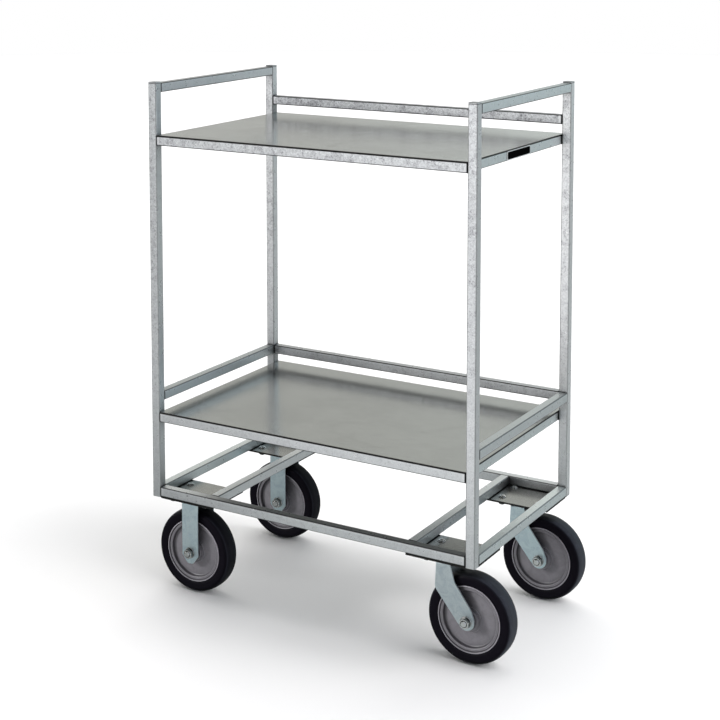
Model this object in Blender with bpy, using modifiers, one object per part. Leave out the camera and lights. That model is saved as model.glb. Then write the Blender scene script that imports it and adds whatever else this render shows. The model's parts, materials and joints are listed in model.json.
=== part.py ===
"""Plant trolley: a welded galvanised square-tube frame with two shelves, two
fixed casters on the left and two swivel casters on the right.

World frame: +X towards the swivel casters, +Y towards the guarded back,
+Z up, floor at Z = 0, origin under the middle of the bounding box.
All lengths are metres.
"""
import bpy
import bmesh
import math
from mathutils import Matrix, Vector

# ------------------------------------------------------------------ driving dimensions
TUBE = 0.020            # square tube, outside
WALL = 0.0015           # square tube, wall
TUBE_RADIUS = 0.0018    # square tube, outside corner radius
GAP = 0.0003            # clearance between neighbouring pieces

LENGTH = 0.765          # over the posts, X
WIDTH = 0.466           # over the posts, Y
BASE_BOTTOM = 0.214     # underside of the base rails
POST_BOTTOM = 0.2115    # underside of the closed post foot
LOWER_TOP = 0.397       # top of the lower shelf frame
UPPER_TOP = 0.9915      # top of the upper shelf frame
LOWER_GUARD_TOP = 0.440
UPPER_GUARD_TOP = 1.034
HANDLE_TOP = 1.102      # also the top of the post tubes

CROSS_LEFT = 0.138      # left faces of the two base cross members
CROSS_RIGHT = 0.611

WHEEL_R = 0.090
FIXED_X = 0.075         # fixed axles, X over the frame
SWIVEL_X = 0.690        # swivel axes, X over the frame
TRAIL = 0.043           # swivel caster's axle, from the swivel axis towards +X
CASTER_IN_Y = 0.0605    # wheel planes, in from the outside of the frame
BOLT_X, BOLT_Y = 0.042, 0.031          # half spacings of the caster bolts
MOUNT_THICK = 0.004     # mounting plate under the frame
CASTER_PLATE_THICK = 0.004
AXLE_BORE_R = 0.0064    # through the hub and the fork legs

# derived
X_MID = ((FIXED_X - WHEEL_R) + (SWIVEL_X + TRAIL + WHEEL_R)) / 2
FRONT, BACK = 0.0, WIDTH - TUBE                 # low faces of the outer tubes
LEFT, RIGHT = 0.0, LENGTH - TUBE
INNER_LEFT, INNER_RIGHT = TUBE + GAP, LENGTH - TUBE - GAP    # rail ends between the posts
INNER_FRONT, INNER_BACK = TUBE + GAP, WIDTH - TUBE - GAP
MOUNT_TOP = BASE_BOTTOM - GAP
CASTER_TOP = MOUNT_TOP - MOUNT_THICK - GAP
CASTER_PLATE_BOTTOM = CASTER_TOP - CASTER_PLATE_THICK

SHARP_ANGLE = math.radians(28)           # edges steeper than this stay sharp
ON_SIDE = (math.radians(90), 0, 0)       # turns local Y up and local Z onto the world's -Y


def at(x, y, z):
    """Frame coordinates (from the front left outer corner) to world."""
    return Vector((x - X_MID, y - WIDTH / 2, z))


def from_end(hand, distance):
    """Frame X at a distance in from the left or right end."""
    return distance if hand == "left" else LENGTH - distance


def from_side(side, distance):
    """Frame Y at a distance in from the front or back."""
    return distance if side == "front" else WIDTH - distance


# ------------------------------------------------------------------ scene
for old in list(bpy.data.objects):
    bpy.data.objects.remove(old, do_unlink=True)
for old in list(bpy.data.collections):
    bpy.data.collections.remove(old)

trolley = bpy.data.collections.new("plant_trolley")
bpy.context.scene.collection.children.link(trolley)


def material(name, colour, roughness, metallic):
    mat = bpy.data.materials.new(name)
    mat.use_nodes = True
    inputs = mat.node_tree.nodes["Principled BSDF"].inputs
    inputs["Base Color"].default_value = (*colour, 1.0)
    inputs["Roughness"].default_value = roughness
    inputs["Metallic"].default_value = metallic
    mat.diffuse_color = (*colour, 1.0)
    return mat


GALVANISED = material("galvanised_tube", colour=(0.58, 0.61, 0.62), roughness=0.45, metallic=0.9)
SHEET_METAL = material("galvanised_sheet", colour=(0.42, 0.42, 0.40), roughness=0.38, metallic=0.9)
ZINC = material("zinc_plated_steel", colour=(0.46, 0.53, 0.55), roughness=0.35, metallic=0.9)
CAP_METAL = material("cap_metal", colour=(0.52, 0.54, 0.55), roughness=0.5, metallic=0.8)
RUBBER = material("black_rubber", colour=(0.018, 0.017, 0.022), roughness=0.6, metallic=0.0)
PLASTIC = material("grey_plastic", colour=(0.15, 0.14, 0.16), roughness=0.5, metallic=0.0)
BLACK = material("black_plate", colour=(0.006, 0.006, 0.006), roughness=0.4, metallic=0.0)
FASTENER = material("zinc_fastener", colour=(0.60, 0.60, 0.58), roughness=0.3, metallic=1.0)


# ------------------------------------------------------------------ modelling helpers
def add(name, mesh, mat=None, loc=(0, 0, 0), rot=(0, 0, 0)):
    obj = bpy.data.objects.new(name, mesh)
    trolley.objects.link(obj)
    obj.location = loc
    obj.rotation_euler = rot
    if mat is not None:
        mesh.materials.append(mat)
    return obj


def set_material(mesh, mat):
    """Make mat the only material of the mesh."""
    mesh.materials.clear()
    mesh.materials.append(mat)


def smooth(mesh):
    mesh.shade_smooth()
    mesh.set_sharp_from_angle(angle=SHARP_ANGLE)


def write_mesh(editor, mesh):
    """Write a bmesh into the mesh and free it."""
    editor.to_mesh(mesh)
    editor.free()
    return mesh


def evaluated_mesh(obj):
    bpy.context.view_layer.update()
    graph = bpy.context.evaluated_depsgraph_get()
    return bpy.data.meshes.new_from_object(obj.evaluated_get(graph))


def take_mesh(obj):
    """The evaluated mesh of a construction object, which is dropped."""
    mesh = evaluated_mesh(obj)
    bpy.data.objects.remove(obj, do_unlink=True)
    return mesh


def combine(obj, others, operation):
    """Boolean the other objects with obj one after another, then drop them."""
    for i, other in enumerate(others):
        mod = obj.modifiers.new("%s_%d" % (operation.lower(), i), "BOOLEAN")
        mod.operation = operation
        mod.solver = "EXACT"
        mod.object = other
    mesh = evaluated_mesh(obj)
    obj.modifiers.clear()
    obj.data = mesh
    for other in others:
        bpy.data.objects.remove(other, do_unlink=True)
    return obj


def box_mesh(name, size, round_edges="", radius=0.0, segments=2):
    """A box about its own middle; round_edges names the axes whose parallel edges are rounded."""
    editor = bmesh.new()
    bmesh.ops.create_cube(editor, size=1.0)
    bmesh.ops.scale(editor, vec=size, verts=editor.verts)
    if round_edges:
        axes = ["XYZ".index(letter) for letter in round_edges]
        picked = []
        for edge in editor.edges:
            span = edge.verts[1].co - edge.verts[0].co
            if max(range(3), key=lambda i: abs(span[i])) in axes:
                picked.append(edge)
        bmesh.ops.bevel(editor, geom=picked, offset=radius, segments=segments,
                        profile=0.5, affect="EDGES")
    return write_mesh(editor, bpy.data.meshes.new(name))


def box(name, low, high, mat=None, round_edges="", radius=0.0, segments=2):
    """A box between two opposite corners, its origin in its middle."""
    mesh = box_mesh(name, high - low, round_edges, radius, segments)
    return add(name, mesh, mat, (low + high) / 2)


def tube(name, axis, low, high, closed_low=False):
    """A square tube as a hollow shell along one world axis, open at its ends.

    closed_low leaves the low end shut by a floor as thick as the wall."""
    i = "XYZ".index(axis)
    mesh = box_mesh(name, high - low, axis, TUBE_RADIUS)
    editor = bmesh.new()
    editor.from_mesh(mesh)
    ends = [face for face in editor.faces if abs(face.normal[i]) > 0.9]
    if closed_low:
        ends = [face for face in ends if face.normal[i] > 0]
    bmesh.ops.delete(editor, geom=ends, context="FACES_ONLY")
    write_mesh(editor, mesh)
    obj = add(name, mesh, GALVANISED, (low + high) / 2)
    mod = obj.modifiers.new("wall", "SOLIDIFY")
    mod.thickness = WALL
    mod.offset = -1.0
    mod.use_even_offset = True


def cylinder(name, radius, low, high, loc, segments, rot=(0, 0, 0), spin=0.0):
    """A cylinder along its local Z from low to high, its facets turned by spin."""
    editor = bmesh.new()
    bmesh.ops.create_cone(editor, cap_ends=True, segments=segments, radius1=radius,
                          radius2=radius, depth=high - low,
                          matrix=Matrix.Translation((0, 0, (low + high) / 2))
                          @ Matrix.Rotation(spin, 4, "Z"))
    return add(name, write_mesh(editor, bpy.data.meshes.new(name)), loc=loc, rot=rot)


def turned(name, half_profile, steps, mat):
    """Mesh of a profile turned about Z: (radius, height) points, mirrored below Z = 0."""
    profile = half_profile + [(radius, -z) for radius, z in reversed(half_profile)]
    points = [(radius, 0.0, z) for radius, z in profile]
    mesh = bpy.data.meshes.new(name)
    mesh.from_pydata(points, [(i, (i + 1) % len(points)) for i in range(len(points))], [])
    obj = add(name, mesh)
    mod = obj.modifiers.new("turn", "SCREW")
    mod.axis = "Z"
    mod.angle = math.tau
    mod.steps = steps
    mod.render_steps = steps
    mod.use_merge_vertices = True
    mod.merge_threshold = 0.00001
    mesh = take_mesh(obj)
    smooth(mesh)
    mesh.materials.append(mat)
    return mesh


def outline(name, points, thickness, loc, rot=(0, 0, 0), mat=None):
    """A flat closed outline, thickened equally to both sides of its plane."""
    curve = bpy.data.curves.new(name, "CURVE")
    curve.dimensions = "2D"
    curve.fill_mode = "BOTH"
    curve.extrude = thickness / 2
    spline = curve.splines.new("POLY")
    spline.points.add(len(points) - 1)
    for point, (x, y) in zip(spline.points, points):
        point.co = (x, y, 0.0, 1.0)
    spline.use_cyclic_u = True
    source = bpy.data.objects.new(name + "_outline", curve)
    trolley.objects.link(source)
    mesh = take_mesh(source)
    # the caps and the rim of a filled curve come unjoined
    editor = bmesh.new()
    editor.from_mesh(mesh)
    bmesh.ops.remove_doubles(editor, verts=editor.verts, dist=0.00001)
    bmesh.ops.recalc_face_normals(editor, faces=editor.faces)
    write_mesh(editor, mesh)
    mesh.materials.clear()
    return add(name, mesh, mat, loc, rot)


def arc(radius, start, end, count):
    """Points on an arc about the origin, angles in degrees."""
    angles = [math.radians(start + (end - start) * i / (count - 1)) for i in range(count)]
    return [(radius * math.cos(angle), radius * math.sin(angle)) for angle in angles]


def stack(name, sections, mat):
    """One solid from coaxial sections (segments, radius, low, high), as a shared mesh.

    Each section is turned a little further, so that facets do not line up."""
    solids = [cylinder("%s_%d" % (name, i), radius, low, high, (0, 0, 0), segments,
                       spin=math.radians(7.0 * i))
              for i, (segments, radius, low, high) in enumerate(sections)]
    body = combine(solids[0], solids[1:], "UNION")
    mesh = body.data
    bpy.data.objects.remove(body, do_unlink=True)
    set_material(mesh, mat)
    smooth(mesh)
    return mesh


# ------------------------------------------------------------------ posts and caps
CAP_HEIGHT = 0.0027     # cap plate above the post tube
CAP_EDGE = 0.0009       # rounding of the cap plate's edges
CAP_PLUG = 0.008        # plug below the cap plate
PLUG_OVERLAP = 0.001    # plug into the cap plate


def post(side, x, y):
    tube("post_" + side, "Z", at(x, y, POST_BOTTOM), at(x + TUBE, y + TUBE, HANDLE_TOP),
         closed_low=True)


def post_cap(side, x, y):
    """A plate the size of the tube and a plug that sits inside it."""
    low = HANDLE_TOP + GAP
    inset = WALL + GAP
    cap = box("post_cap_" + side, at(x, y, low), at(x + TUBE, y + TUBE, low + CAP_HEIGHT),
              None, "XYZ", CAP_EDGE)
    plug = box("plug", at(x + inset, y + inset, low - CAP_PLUG),
               at(x + TUBE - inset, y + TUBE - inset, low + PLUG_OVERLAP))
    combine(cap, [plug], "UNION")
    set_material(cap.data, CAP_METAL)


for post_side, post_x, post_y in (("front_left", LEFT, FRONT), ("front_right", RIGHT, FRONT),
                                  ("back_left", LEFT, BACK), ("back_right", RIGHT, BACK)):
    post(post_side, post_x, post_y)
    post_cap(post_side, post_x, post_y)

# ------------------------------------------------------------------ rails between the posts
# name, axis, low face across the axis, top
RAILS = (
    ("push_handle_left", "Y", LEFT, HANDLE_TOP),
    ("push_handle_right", "Y", RIGHT, HANDLE_TOP),
    ("upper_guard_back", "X", BACK, UPPER_GUARD_TOP),
    ("lower_guard_back", "X", BACK, LOWER_GUARD_TOP),
    ("lower_guard_left", "Y", LEFT, LOWER_GUARD_TOP),
    ("lower_guard_right", "Y", RIGHT, LOWER_GUARD_TOP),
    ("base_rail_left", "Y", LEFT, BASE_BOTTOM + TUBE),
    ("base_rail_right", "Y", RIGHT, BASE_BOTTOM + TUBE),
)


def rail(name, axis, across, top):
    if axis == "X":
        low = at(INNER_LEFT, across, top - TUBE)
        high = at(INNER_RIGHT, across + TUBE, top)
    else:
        low = at(across, INNER_FRONT, top - TUBE)
        high = at(across + TUBE, INNER_BACK, top)
    tube(name, axis, low, high)


for rail_row in RAILS:
    rail(*rail_row)

# ------------------------------------------------------------------ welded tube frames
BUTT_SINK = 0.0007      # butted tubes run this far into the wall of the long ones
BUTT_SLIM = 0.00004     # and stay this far inside their top and bottom faces
HOLLOW_SLIM = 0.0001    # the same for the butted tubes' hollows
LONG_OVERCUT = 0.01     # long hollows, past the open ends
BUTT_OVERCUT = 0.002    # butted hollows, past the wall of the long tubes


def welded_frame(name, bottom, cross_lefts):
    """Front and back tubes along X, and tubes along Y with left faces at cross_lefts butted
    between them: one welded hollow piece, open where the X tubes meet the posts."""
    top = bottom + TUBE
    solids, hollows = [], []
    for i, y in enumerate((FRONT, BACK)):
        solids.append(box("%s_long_%d" % (name, i), at(INNER_LEFT, y, bottom),
                          at(INNER_RIGHT, y + TUBE, top), None, "X", TUBE_RADIUS))
        hollows.append(box("%s_long_hollow_%d" % (name, i),
                           at(INNER_LEFT - LONG_OVERCUT, y + WALL, bottom + WALL),
                           at(INNER_RIGHT + LONG_OVERCUT, y + TUBE - WALL, top - WALL)))
    y_low, y_high = FRONT + TUBE, BACK
    for i, x in enumerate(cross_lefts):
        solids.append(box("%s_cross_%d" % (name, i),
                          at(x, y_low - BUTT_SINK, bottom + BUTT_SLIM),
                          at(x + TUBE, y_high + BUTT_SINK, top - BUTT_SLIM),
                          None, "Y", TUBE_RADIUS))
        hollows.append(box("%s_cross_hollow_%d" % (name, i),
                           at(x + WALL, y_low - WALL - BUTT_OVERCUT, bottom + WALL + HOLLOW_SLIM),
                           at(x + TUBE - WALL, y_high + WALL + BUTT_OVERCUT,
                              top - WALL - HOLLOW_SLIM)))
    body = solids[0]
    combine(body, solids[1:], "UNION")
    combine(body, hollows, "DIFFERENCE")
    body.name = name
    set_material(body.data, GALVANISED)


# ------------------------------------------------------------------ shelves and base frame
SHEET = 0.0015          # shelf sheet thickness
SHEET_END = 0.0005      # shelf sheet, clear of the posts at the left and right
SHEET_FRONT = 0.0012    # shelf sheet, in from the outside at the front and back

NAME_PLATE_X, NAME_PLATE_Y, NAME_PLATE_Z = 0.0012, 0.097, 0.014
NAME_PLATE_MIDDLE = 0.2315             # Y over the frame
NAME_PLATE_RADIUS = 0.003


def shelf(level, top):
    # the end tubes stand just inside the posts
    welded_frame(level + "_shelf_frame", top - TUBE, (INNER_LEFT, INNER_RIGHT - TUBE))
    box(level + "_shelf_sheet",
        at(TUBE + SHEET_END, SHEET_FRONT, top + GAP),
        at(LENGTH - TUBE - SHEET_END, WIDTH - SHEET_FRONT, top + GAP + SHEET), SHEET_METAL)


def name_plate():
    """Blank plate on the outer face of the upper shelf frame's right tube."""
    z_middle = UPPER_TOP - TUBE / 2
    box("name_plate",
        at(RIGHT, NAME_PLATE_MIDDLE - NAME_PLATE_Y / 2, z_middle - NAME_PLATE_Z / 2),
        at(RIGHT + NAME_PLATE_X, NAME_PLATE_MIDDLE + NAME_PLATE_Y / 2,
           z_middle + NAME_PLATE_Z / 2),
        BLACK, "X", NAME_PLATE_RADIUS, 3)


shelf("upper", UPPER_TOP)
shelf("lower", LOWER_TOP)
welded_frame("base_frame", BASE_BOTTOM, (CROSS_LEFT, CROSS_RIGHT))
name_plate()

# ------------------------------------------------------------------ caster bolts and holes
BOLT_HOLE_R = 0.0045
BOLT_HEX_R = 0.0075     # over the corners of the head and the nut
HEAD_BOTTOM = MOUNT_TOP + GAP

# segments, radius, low, high: head, shank, nut
BOLT_MESH = stack("caster_bolt", [
    (6, BOLT_HEX_R, HEAD_BOTTOM, HEAD_BOTTOM + 0.0053),
    (8, 0.0039, CASTER_PLATE_BOTTOM - 0.0085, HEAD_BOTTOM + 0.001),
    (6, BOLT_HEX_R, CASTER_PLATE_BOTTOM - GAP - 0.0065, CASTER_PLATE_BOTTOM - GAP)], FASTENER)


def bolt_places(caster_x, caster_y):
    return [(caster_x + along * BOLT_X, caster_y + across * BOLT_Y)
            for across in (-1, 1) for along in (-1, 1)]


def drill(obj, caster_x, caster_y):
    """Four bolt holes on the caster's bolt pattern, straight down."""
    drills = [cylinder("drill_%d" % i, BOLT_HOLE_R, -0.02, 0.02, at(x, y, CASTER_TOP), 10)
              for i, (x, y) in enumerate(bolt_places(caster_x, caster_y))]
    combine(obj, drills, "DIFFERENCE")


def caster_bolts(side, hand, caster_x, caster_y):
    for i, (x, y) in enumerate(bolt_places(caster_x, caster_y), 1):
        add("caster_bolt_%s_%s_%d" % (side, hand, i), BOLT_MESH, loc=at(x, y, 0))


# ------------------------------------------------------------------ mounting plates
MOUNT_INSET = 0.0015    # in from the outside of the frame
MOUNT_LENGTH = {"left": 0.1515, "right": 0.1485}
MOUNT_WIDTH = 0.117
MOUNT_NOTCH = TUBE + 0.0005            # round the post foot, from the outside of the frame


def mounting_plate(side, hand, caster_x, caster_y):
    """Plate under the frame, notched round the post foot."""
    x_out = from_end(hand, MOUNT_INSET)
    x_in = from_end(hand, MOUNT_INSET + MOUNT_LENGTH[hand])
    x_notch = from_end(hand, MOUNT_NOTCH)
    y_out = from_side(side, MOUNT_INSET)
    y_in = from_side(side, MOUNT_INSET + MOUNT_WIDTH)
    y_notch = from_side(side, MOUNT_NOTCH)
    corners = [(x_in, y_out), (x_notch, y_out), (x_notch, y_notch),
               (x_out, y_notch), (x_out, y_in), (x_in, y_in)]
    plate = outline("mounting_plate_%s_%s" % (side, hand),
                    [tuple(at(x, y, 0).xy) for x, y in corners], MOUNT_THICK,
                    (0, 0, MOUNT_TOP - MOUNT_THICK / 2), mat=GALVANISED)
    drill(plate, caster_x, caster_y)


# ------------------------------------------------------------------ wheels
WHEEL_STEPS = 32
TYRE_HALF = 0.021       # half width of the tyre
RIM_SEAT_R = 0.0672     # seat of the tyre on the rim
HUB_HALF = 0.027        # half length of the hub
FORK_INNER = 0.0276     # leg inner face from the wheel's middle plane
LEG_THICK = 0.003
WASHER_IN = FORK_INNER + LEG_THICK + GAP    # washer face from the wheel's middle plane
WASHER_R, WASHER_THICK = 0.0118, 0.0018
WASHER_OUT = WASHER_IN + WASHER_THICK
AXLE_HEX_R = 0.0104     # over the corners of the hexagons
AXLE_HEX_IN = WASHER_IN + 0.0012            # hexagons start inside the washers

# segments, radius, low, high: shank, then washer and hexagon at each end
AXLE_MESH = stack("axle_bolt", [
    (16, 0.0060, -WASHER_IN - 0.0095, WASHER_IN + 0.0055),
    (20, WASHER_R, -WASHER_OUT, -WASHER_IN),
    (6, AXLE_HEX_R, -WASHER_IN - 0.0078, -AXLE_HEX_IN),
    (20, WASHER_R, WASHER_IN, WASHER_OUT),
    (6, AXLE_HEX_R, AXLE_HEX_IN, WASHER_IN + 0.0072)], FASTENER)

# half profiles: radius, distance from the wheel's middle plane
TYRE_MESH = turned("tyre", [
    (RIM_SEAT_R + GAP, 0.0185), (0.0720, 0.0205), (0.0820, TYRE_HALF), (0.0868, 0.0188),
    (0.0893, 0.0150), (WHEEL_R, 0.0110)], WHEEL_STEPS, RUBBER)
RIM_MESH = turned("rim", [
    (AXLE_BORE_R, HUB_HALF), (0.0150, HUB_HALF), (0.0175, 0.0130), (0.0540, 0.0115),
    (0.0600, 0.0170), (0.0645, 0.0172), (0.0652, 0.0193), (RIM_SEAT_R, 0.0193)],
    WHEEL_STEPS, PLASTIC)


def wheel(side, x, y):
    for part, mesh in (("tyre_", TYRE_MESH), ("rim_", RIM_MESH), ("axle_bolt_", AXLE_MESH)):
        add(part + side, mesh, loc=at(x, y, WHEEL_R), rot=ON_SIDE)


# ------------------------------------------------------------------ parts of both casters
CASTER_PLATE_X, CASTER_PLATE_Y = 0.105, 0.085
CASTER_PLATE_RADIUS = 0.006


def caster_plate(name, caster_x, caster_y):
    half_x, half_y = CASTER_PLATE_X / 2, CASTER_PLATE_Y / 2
    return box(name, at(caster_x - half_x, caster_y - half_y, CASTER_PLATE_BOTTOM),
               at(caster_x + half_x, caster_y + half_y, CASTER_TOP),
               None, "Z", CASTER_PLATE_RADIUS)


def legs(axle_x, caster_y, points):
    """Both legs of a fork, outlined by (x, z) from the axle."""
    return [outline("leg", points, LEG_THICK,
                    at(axle_x, caster_y + sign * (FORK_INNER + LEG_THICK / 2), WHEEL_R), ON_SIDE)
            for sign in (-1, 1)]


def axle_bore(axle_x, caster_y):
    return cylinder("axle_bore", AXLE_BORE_R, -0.05, 0.05, at(axle_x, caster_y, WHEEL_R), 16,
                    ON_SIDE)


# ------------------------------------------------------------------ fixed caster
LEG_HALF = 0.041 / 2    # half width of the straight leg
FIXED_LEG_TOP = CASTER_PLATE_BOTTOM + 0.002 - WHEEL_R
# tapered nose under the axle, one side going down: x, z from the axle
FIXED_NOSE = [(LEG_HALF, -0.0045), (LEG_HALF - 0.0012, -0.0075), (0.0085, -0.0215),
              (0.0050, -0.0238)]
FIXED_LEG = ([(-LEG_HALF, FIXED_LEG_TOP)] + [(-x, z) for x, z in FIXED_NOSE]
             + FIXED_NOSE[::-1] + [(LEG_HALF, FIXED_LEG_TOP)])


def fixed_bracket(side, caster_y):
    """One pressed bracket: its plate and two straight legs."""
    bracket = caster_plate("caster_bracket_%s_left" % side, FIXED_X, caster_y)
    combine(bracket, legs(FIXED_X, caster_y, FIXED_LEG), "UNION")
    combine(bracket, [axle_bore(FIXED_X, caster_y)], "DIFFERENCE")
    drill(bracket, FIXED_X, caster_y)
    set_material(bracket.data, ZINC)


# ------------------------------------------------------------------ swivel caster
RACE_R, RACE_BORE_R = 0.036, 0.024
RACE_BOTTOM = CASTER_PLATE_BOTTOM - 0.0070
RING_R, RING_BORE_R = 0.0300, 0.0200   # lower race, on the crown
KINGPIN_R, PIN_BORE_R = 0.0070, 0.0074
PIN_HEAD_R = 0.0110
CROWN_R = 0.033
CROWN_TOP = CASTER_PLATE_BOTTOM - 0.0125    # top of the fork's crown disc
CROWN_BOTTOM = CROWN_TOP - 0.0035

# leg that drops from the crown and sweeps towards +X to the axle: x, z from the axle
SWIVEL_LEG_TOP = CROWN_TOP - 0.0005 - WHEEL_R
SWIVEL_LEG = ([(-0.0655, SWIVEL_LEG_TOP), (-0.0675, 0.0600), (-0.0645, 0.0520),
               (-0.0175, -0.0060)]
              + arc(0.0170, 205, 350, 7)
              + [(0.0165, 0.0080), (0.0100, 0.0250), (-0.0240, 0.0720),
                 (-0.0345, SWIVEL_LEG_TOP)])


def swivel_plate(side, caster_y):
    """Caster plate with the upper race and the kingpin."""
    axis = at(SWIVEL_X, caster_y, 0)
    plate = caster_plate("swivel_plate_%s_right" % side, SWIVEL_X, caster_y)
    race = cylinder("race", RACE_R, RACE_BOTTOM, CASTER_PLATE_BOTTOM + 0.001, axis, 28)
    race_bore = cylinder("race_bore", RACE_BORE_R, CASTER_PLATE_BOTTOM - 0.0200,
                         CASTER_PLATE_BOTTOM - 0.0001, axis, 20)
    combine(race, [race_bore], "DIFFERENCE")
    pin = cylinder("kingpin", KINGPIN_R, CROWN_BOTTOM - 0.005, CASTER_PLATE_BOTTOM + 0.0015,
                   axis, 16)
    head = cylinder("pin_head", PIN_HEAD_R, CROWN_BOTTOM - 0.0045, CROWN_BOTTOM - GAP, axis, 18)
    combine(plate, [race, pin, head], "UNION")
    drill(plate, SWIVEL_X, caster_y)
    set_material(plate.data, ZINC)


def swivel_fork(side, caster_y):
    """Crown disc, lower race and two swept legs."""
    axis = at(SWIVEL_X, caster_y, 0)
    axle_x = SWIVEL_X + TRAIL
    fork = cylinder("swivel_fork_%s_right" % side, CROWN_R, CROWN_BOTTOM - WHEEL_R,
                    CROWN_TOP - WHEEL_R, at(SWIVEL_X, caster_y, WHEEL_R), 28)
    ring = cylinder("ring", RING_R, CROWN_TOP - 0.001, RACE_BOTTOM - GAP, axis, 28)
    combine(fork, [ring] + legs(axle_x, caster_y, SWIVEL_LEG), "UNION")
    combine(fork, [cylinder("ring_bore", RING_BORE_R, CROWN_TOP, CROWN_TOP + 0.03, axis, 20),
                   cylinder("pin_bore", PIN_BORE_R, 0.10, 0.30, axis, 16),
                   axle_bore(axle_x, caster_y)], "DIFFERENCE")
    set_material(fork.data, ZINC)


# ------------------------------------------------------------------ four casters
for caster_side in ("front", "back"):
    wheel_y = from_side(caster_side, CASTER_IN_Y)
    for caster_hand, mount_x in (("left", FIXED_X), ("right", SWIVEL_X)):
        mounting_plate(caster_side, caster_hand, mount_x, wheel_y)
        caster_bolts(caster_side, caster_hand, mount_x, wheel_y)
    fixed_bracket(caster_side, wheel_y)
    wheel(caster_side + "_left", FIXED_X, wheel_y)
    swivel_plate(caster_side, wheel_y)
    swivel_fork(caster_side, wheel_y)
    wheel(caster_side + "_right", SWIVEL_X + TRAIL, wheel_y)
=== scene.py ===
"""Plant trolley: the looks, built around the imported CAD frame.

World frame: +X towards the swivel casters, +Y towards the guarded back, +Z up, metres.
"""

import json
import math

import bmesh
import bpy
from mathutils import Matrix, Vector

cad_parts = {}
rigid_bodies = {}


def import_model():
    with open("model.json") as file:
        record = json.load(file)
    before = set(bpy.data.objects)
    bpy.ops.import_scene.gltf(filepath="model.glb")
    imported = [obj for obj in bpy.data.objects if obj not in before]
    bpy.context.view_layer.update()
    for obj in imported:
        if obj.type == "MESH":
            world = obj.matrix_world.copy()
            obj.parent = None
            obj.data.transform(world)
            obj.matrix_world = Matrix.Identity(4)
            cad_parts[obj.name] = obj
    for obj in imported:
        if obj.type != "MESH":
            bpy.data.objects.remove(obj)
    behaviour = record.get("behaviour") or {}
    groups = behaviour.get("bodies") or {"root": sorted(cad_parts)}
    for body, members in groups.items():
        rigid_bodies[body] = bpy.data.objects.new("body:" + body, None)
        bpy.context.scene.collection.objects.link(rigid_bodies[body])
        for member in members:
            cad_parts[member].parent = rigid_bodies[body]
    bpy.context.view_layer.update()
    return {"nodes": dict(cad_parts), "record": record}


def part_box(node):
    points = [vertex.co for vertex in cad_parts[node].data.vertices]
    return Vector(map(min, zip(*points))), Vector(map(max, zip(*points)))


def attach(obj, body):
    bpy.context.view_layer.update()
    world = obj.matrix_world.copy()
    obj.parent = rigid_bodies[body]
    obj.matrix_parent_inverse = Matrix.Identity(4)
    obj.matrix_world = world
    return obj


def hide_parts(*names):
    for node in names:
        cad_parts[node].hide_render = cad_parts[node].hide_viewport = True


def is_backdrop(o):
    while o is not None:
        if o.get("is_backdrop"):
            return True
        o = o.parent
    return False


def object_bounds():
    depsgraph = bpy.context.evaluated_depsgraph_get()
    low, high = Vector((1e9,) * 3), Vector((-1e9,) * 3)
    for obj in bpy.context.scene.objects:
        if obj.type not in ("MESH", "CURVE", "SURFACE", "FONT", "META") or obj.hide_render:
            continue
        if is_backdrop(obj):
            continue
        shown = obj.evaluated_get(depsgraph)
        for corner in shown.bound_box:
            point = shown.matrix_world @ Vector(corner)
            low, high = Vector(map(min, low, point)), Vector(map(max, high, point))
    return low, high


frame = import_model()
scene = bpy.context.scene
BODY_OF = {}
for body_name, body_nodes in frame["record"]["behaviour"]["bodies"].items():
    for node_name in body_nodes:
        BODY_OF[node_name] = body_name

# ------------------------------------------------------------------ detail sizes (metres)
CORNER = 0.0026          # outside corner radius of the square tube
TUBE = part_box("post_front_left")[1].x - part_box("post_front_left")[0].x
STEPS = 112              # steps round a wheel


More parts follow.
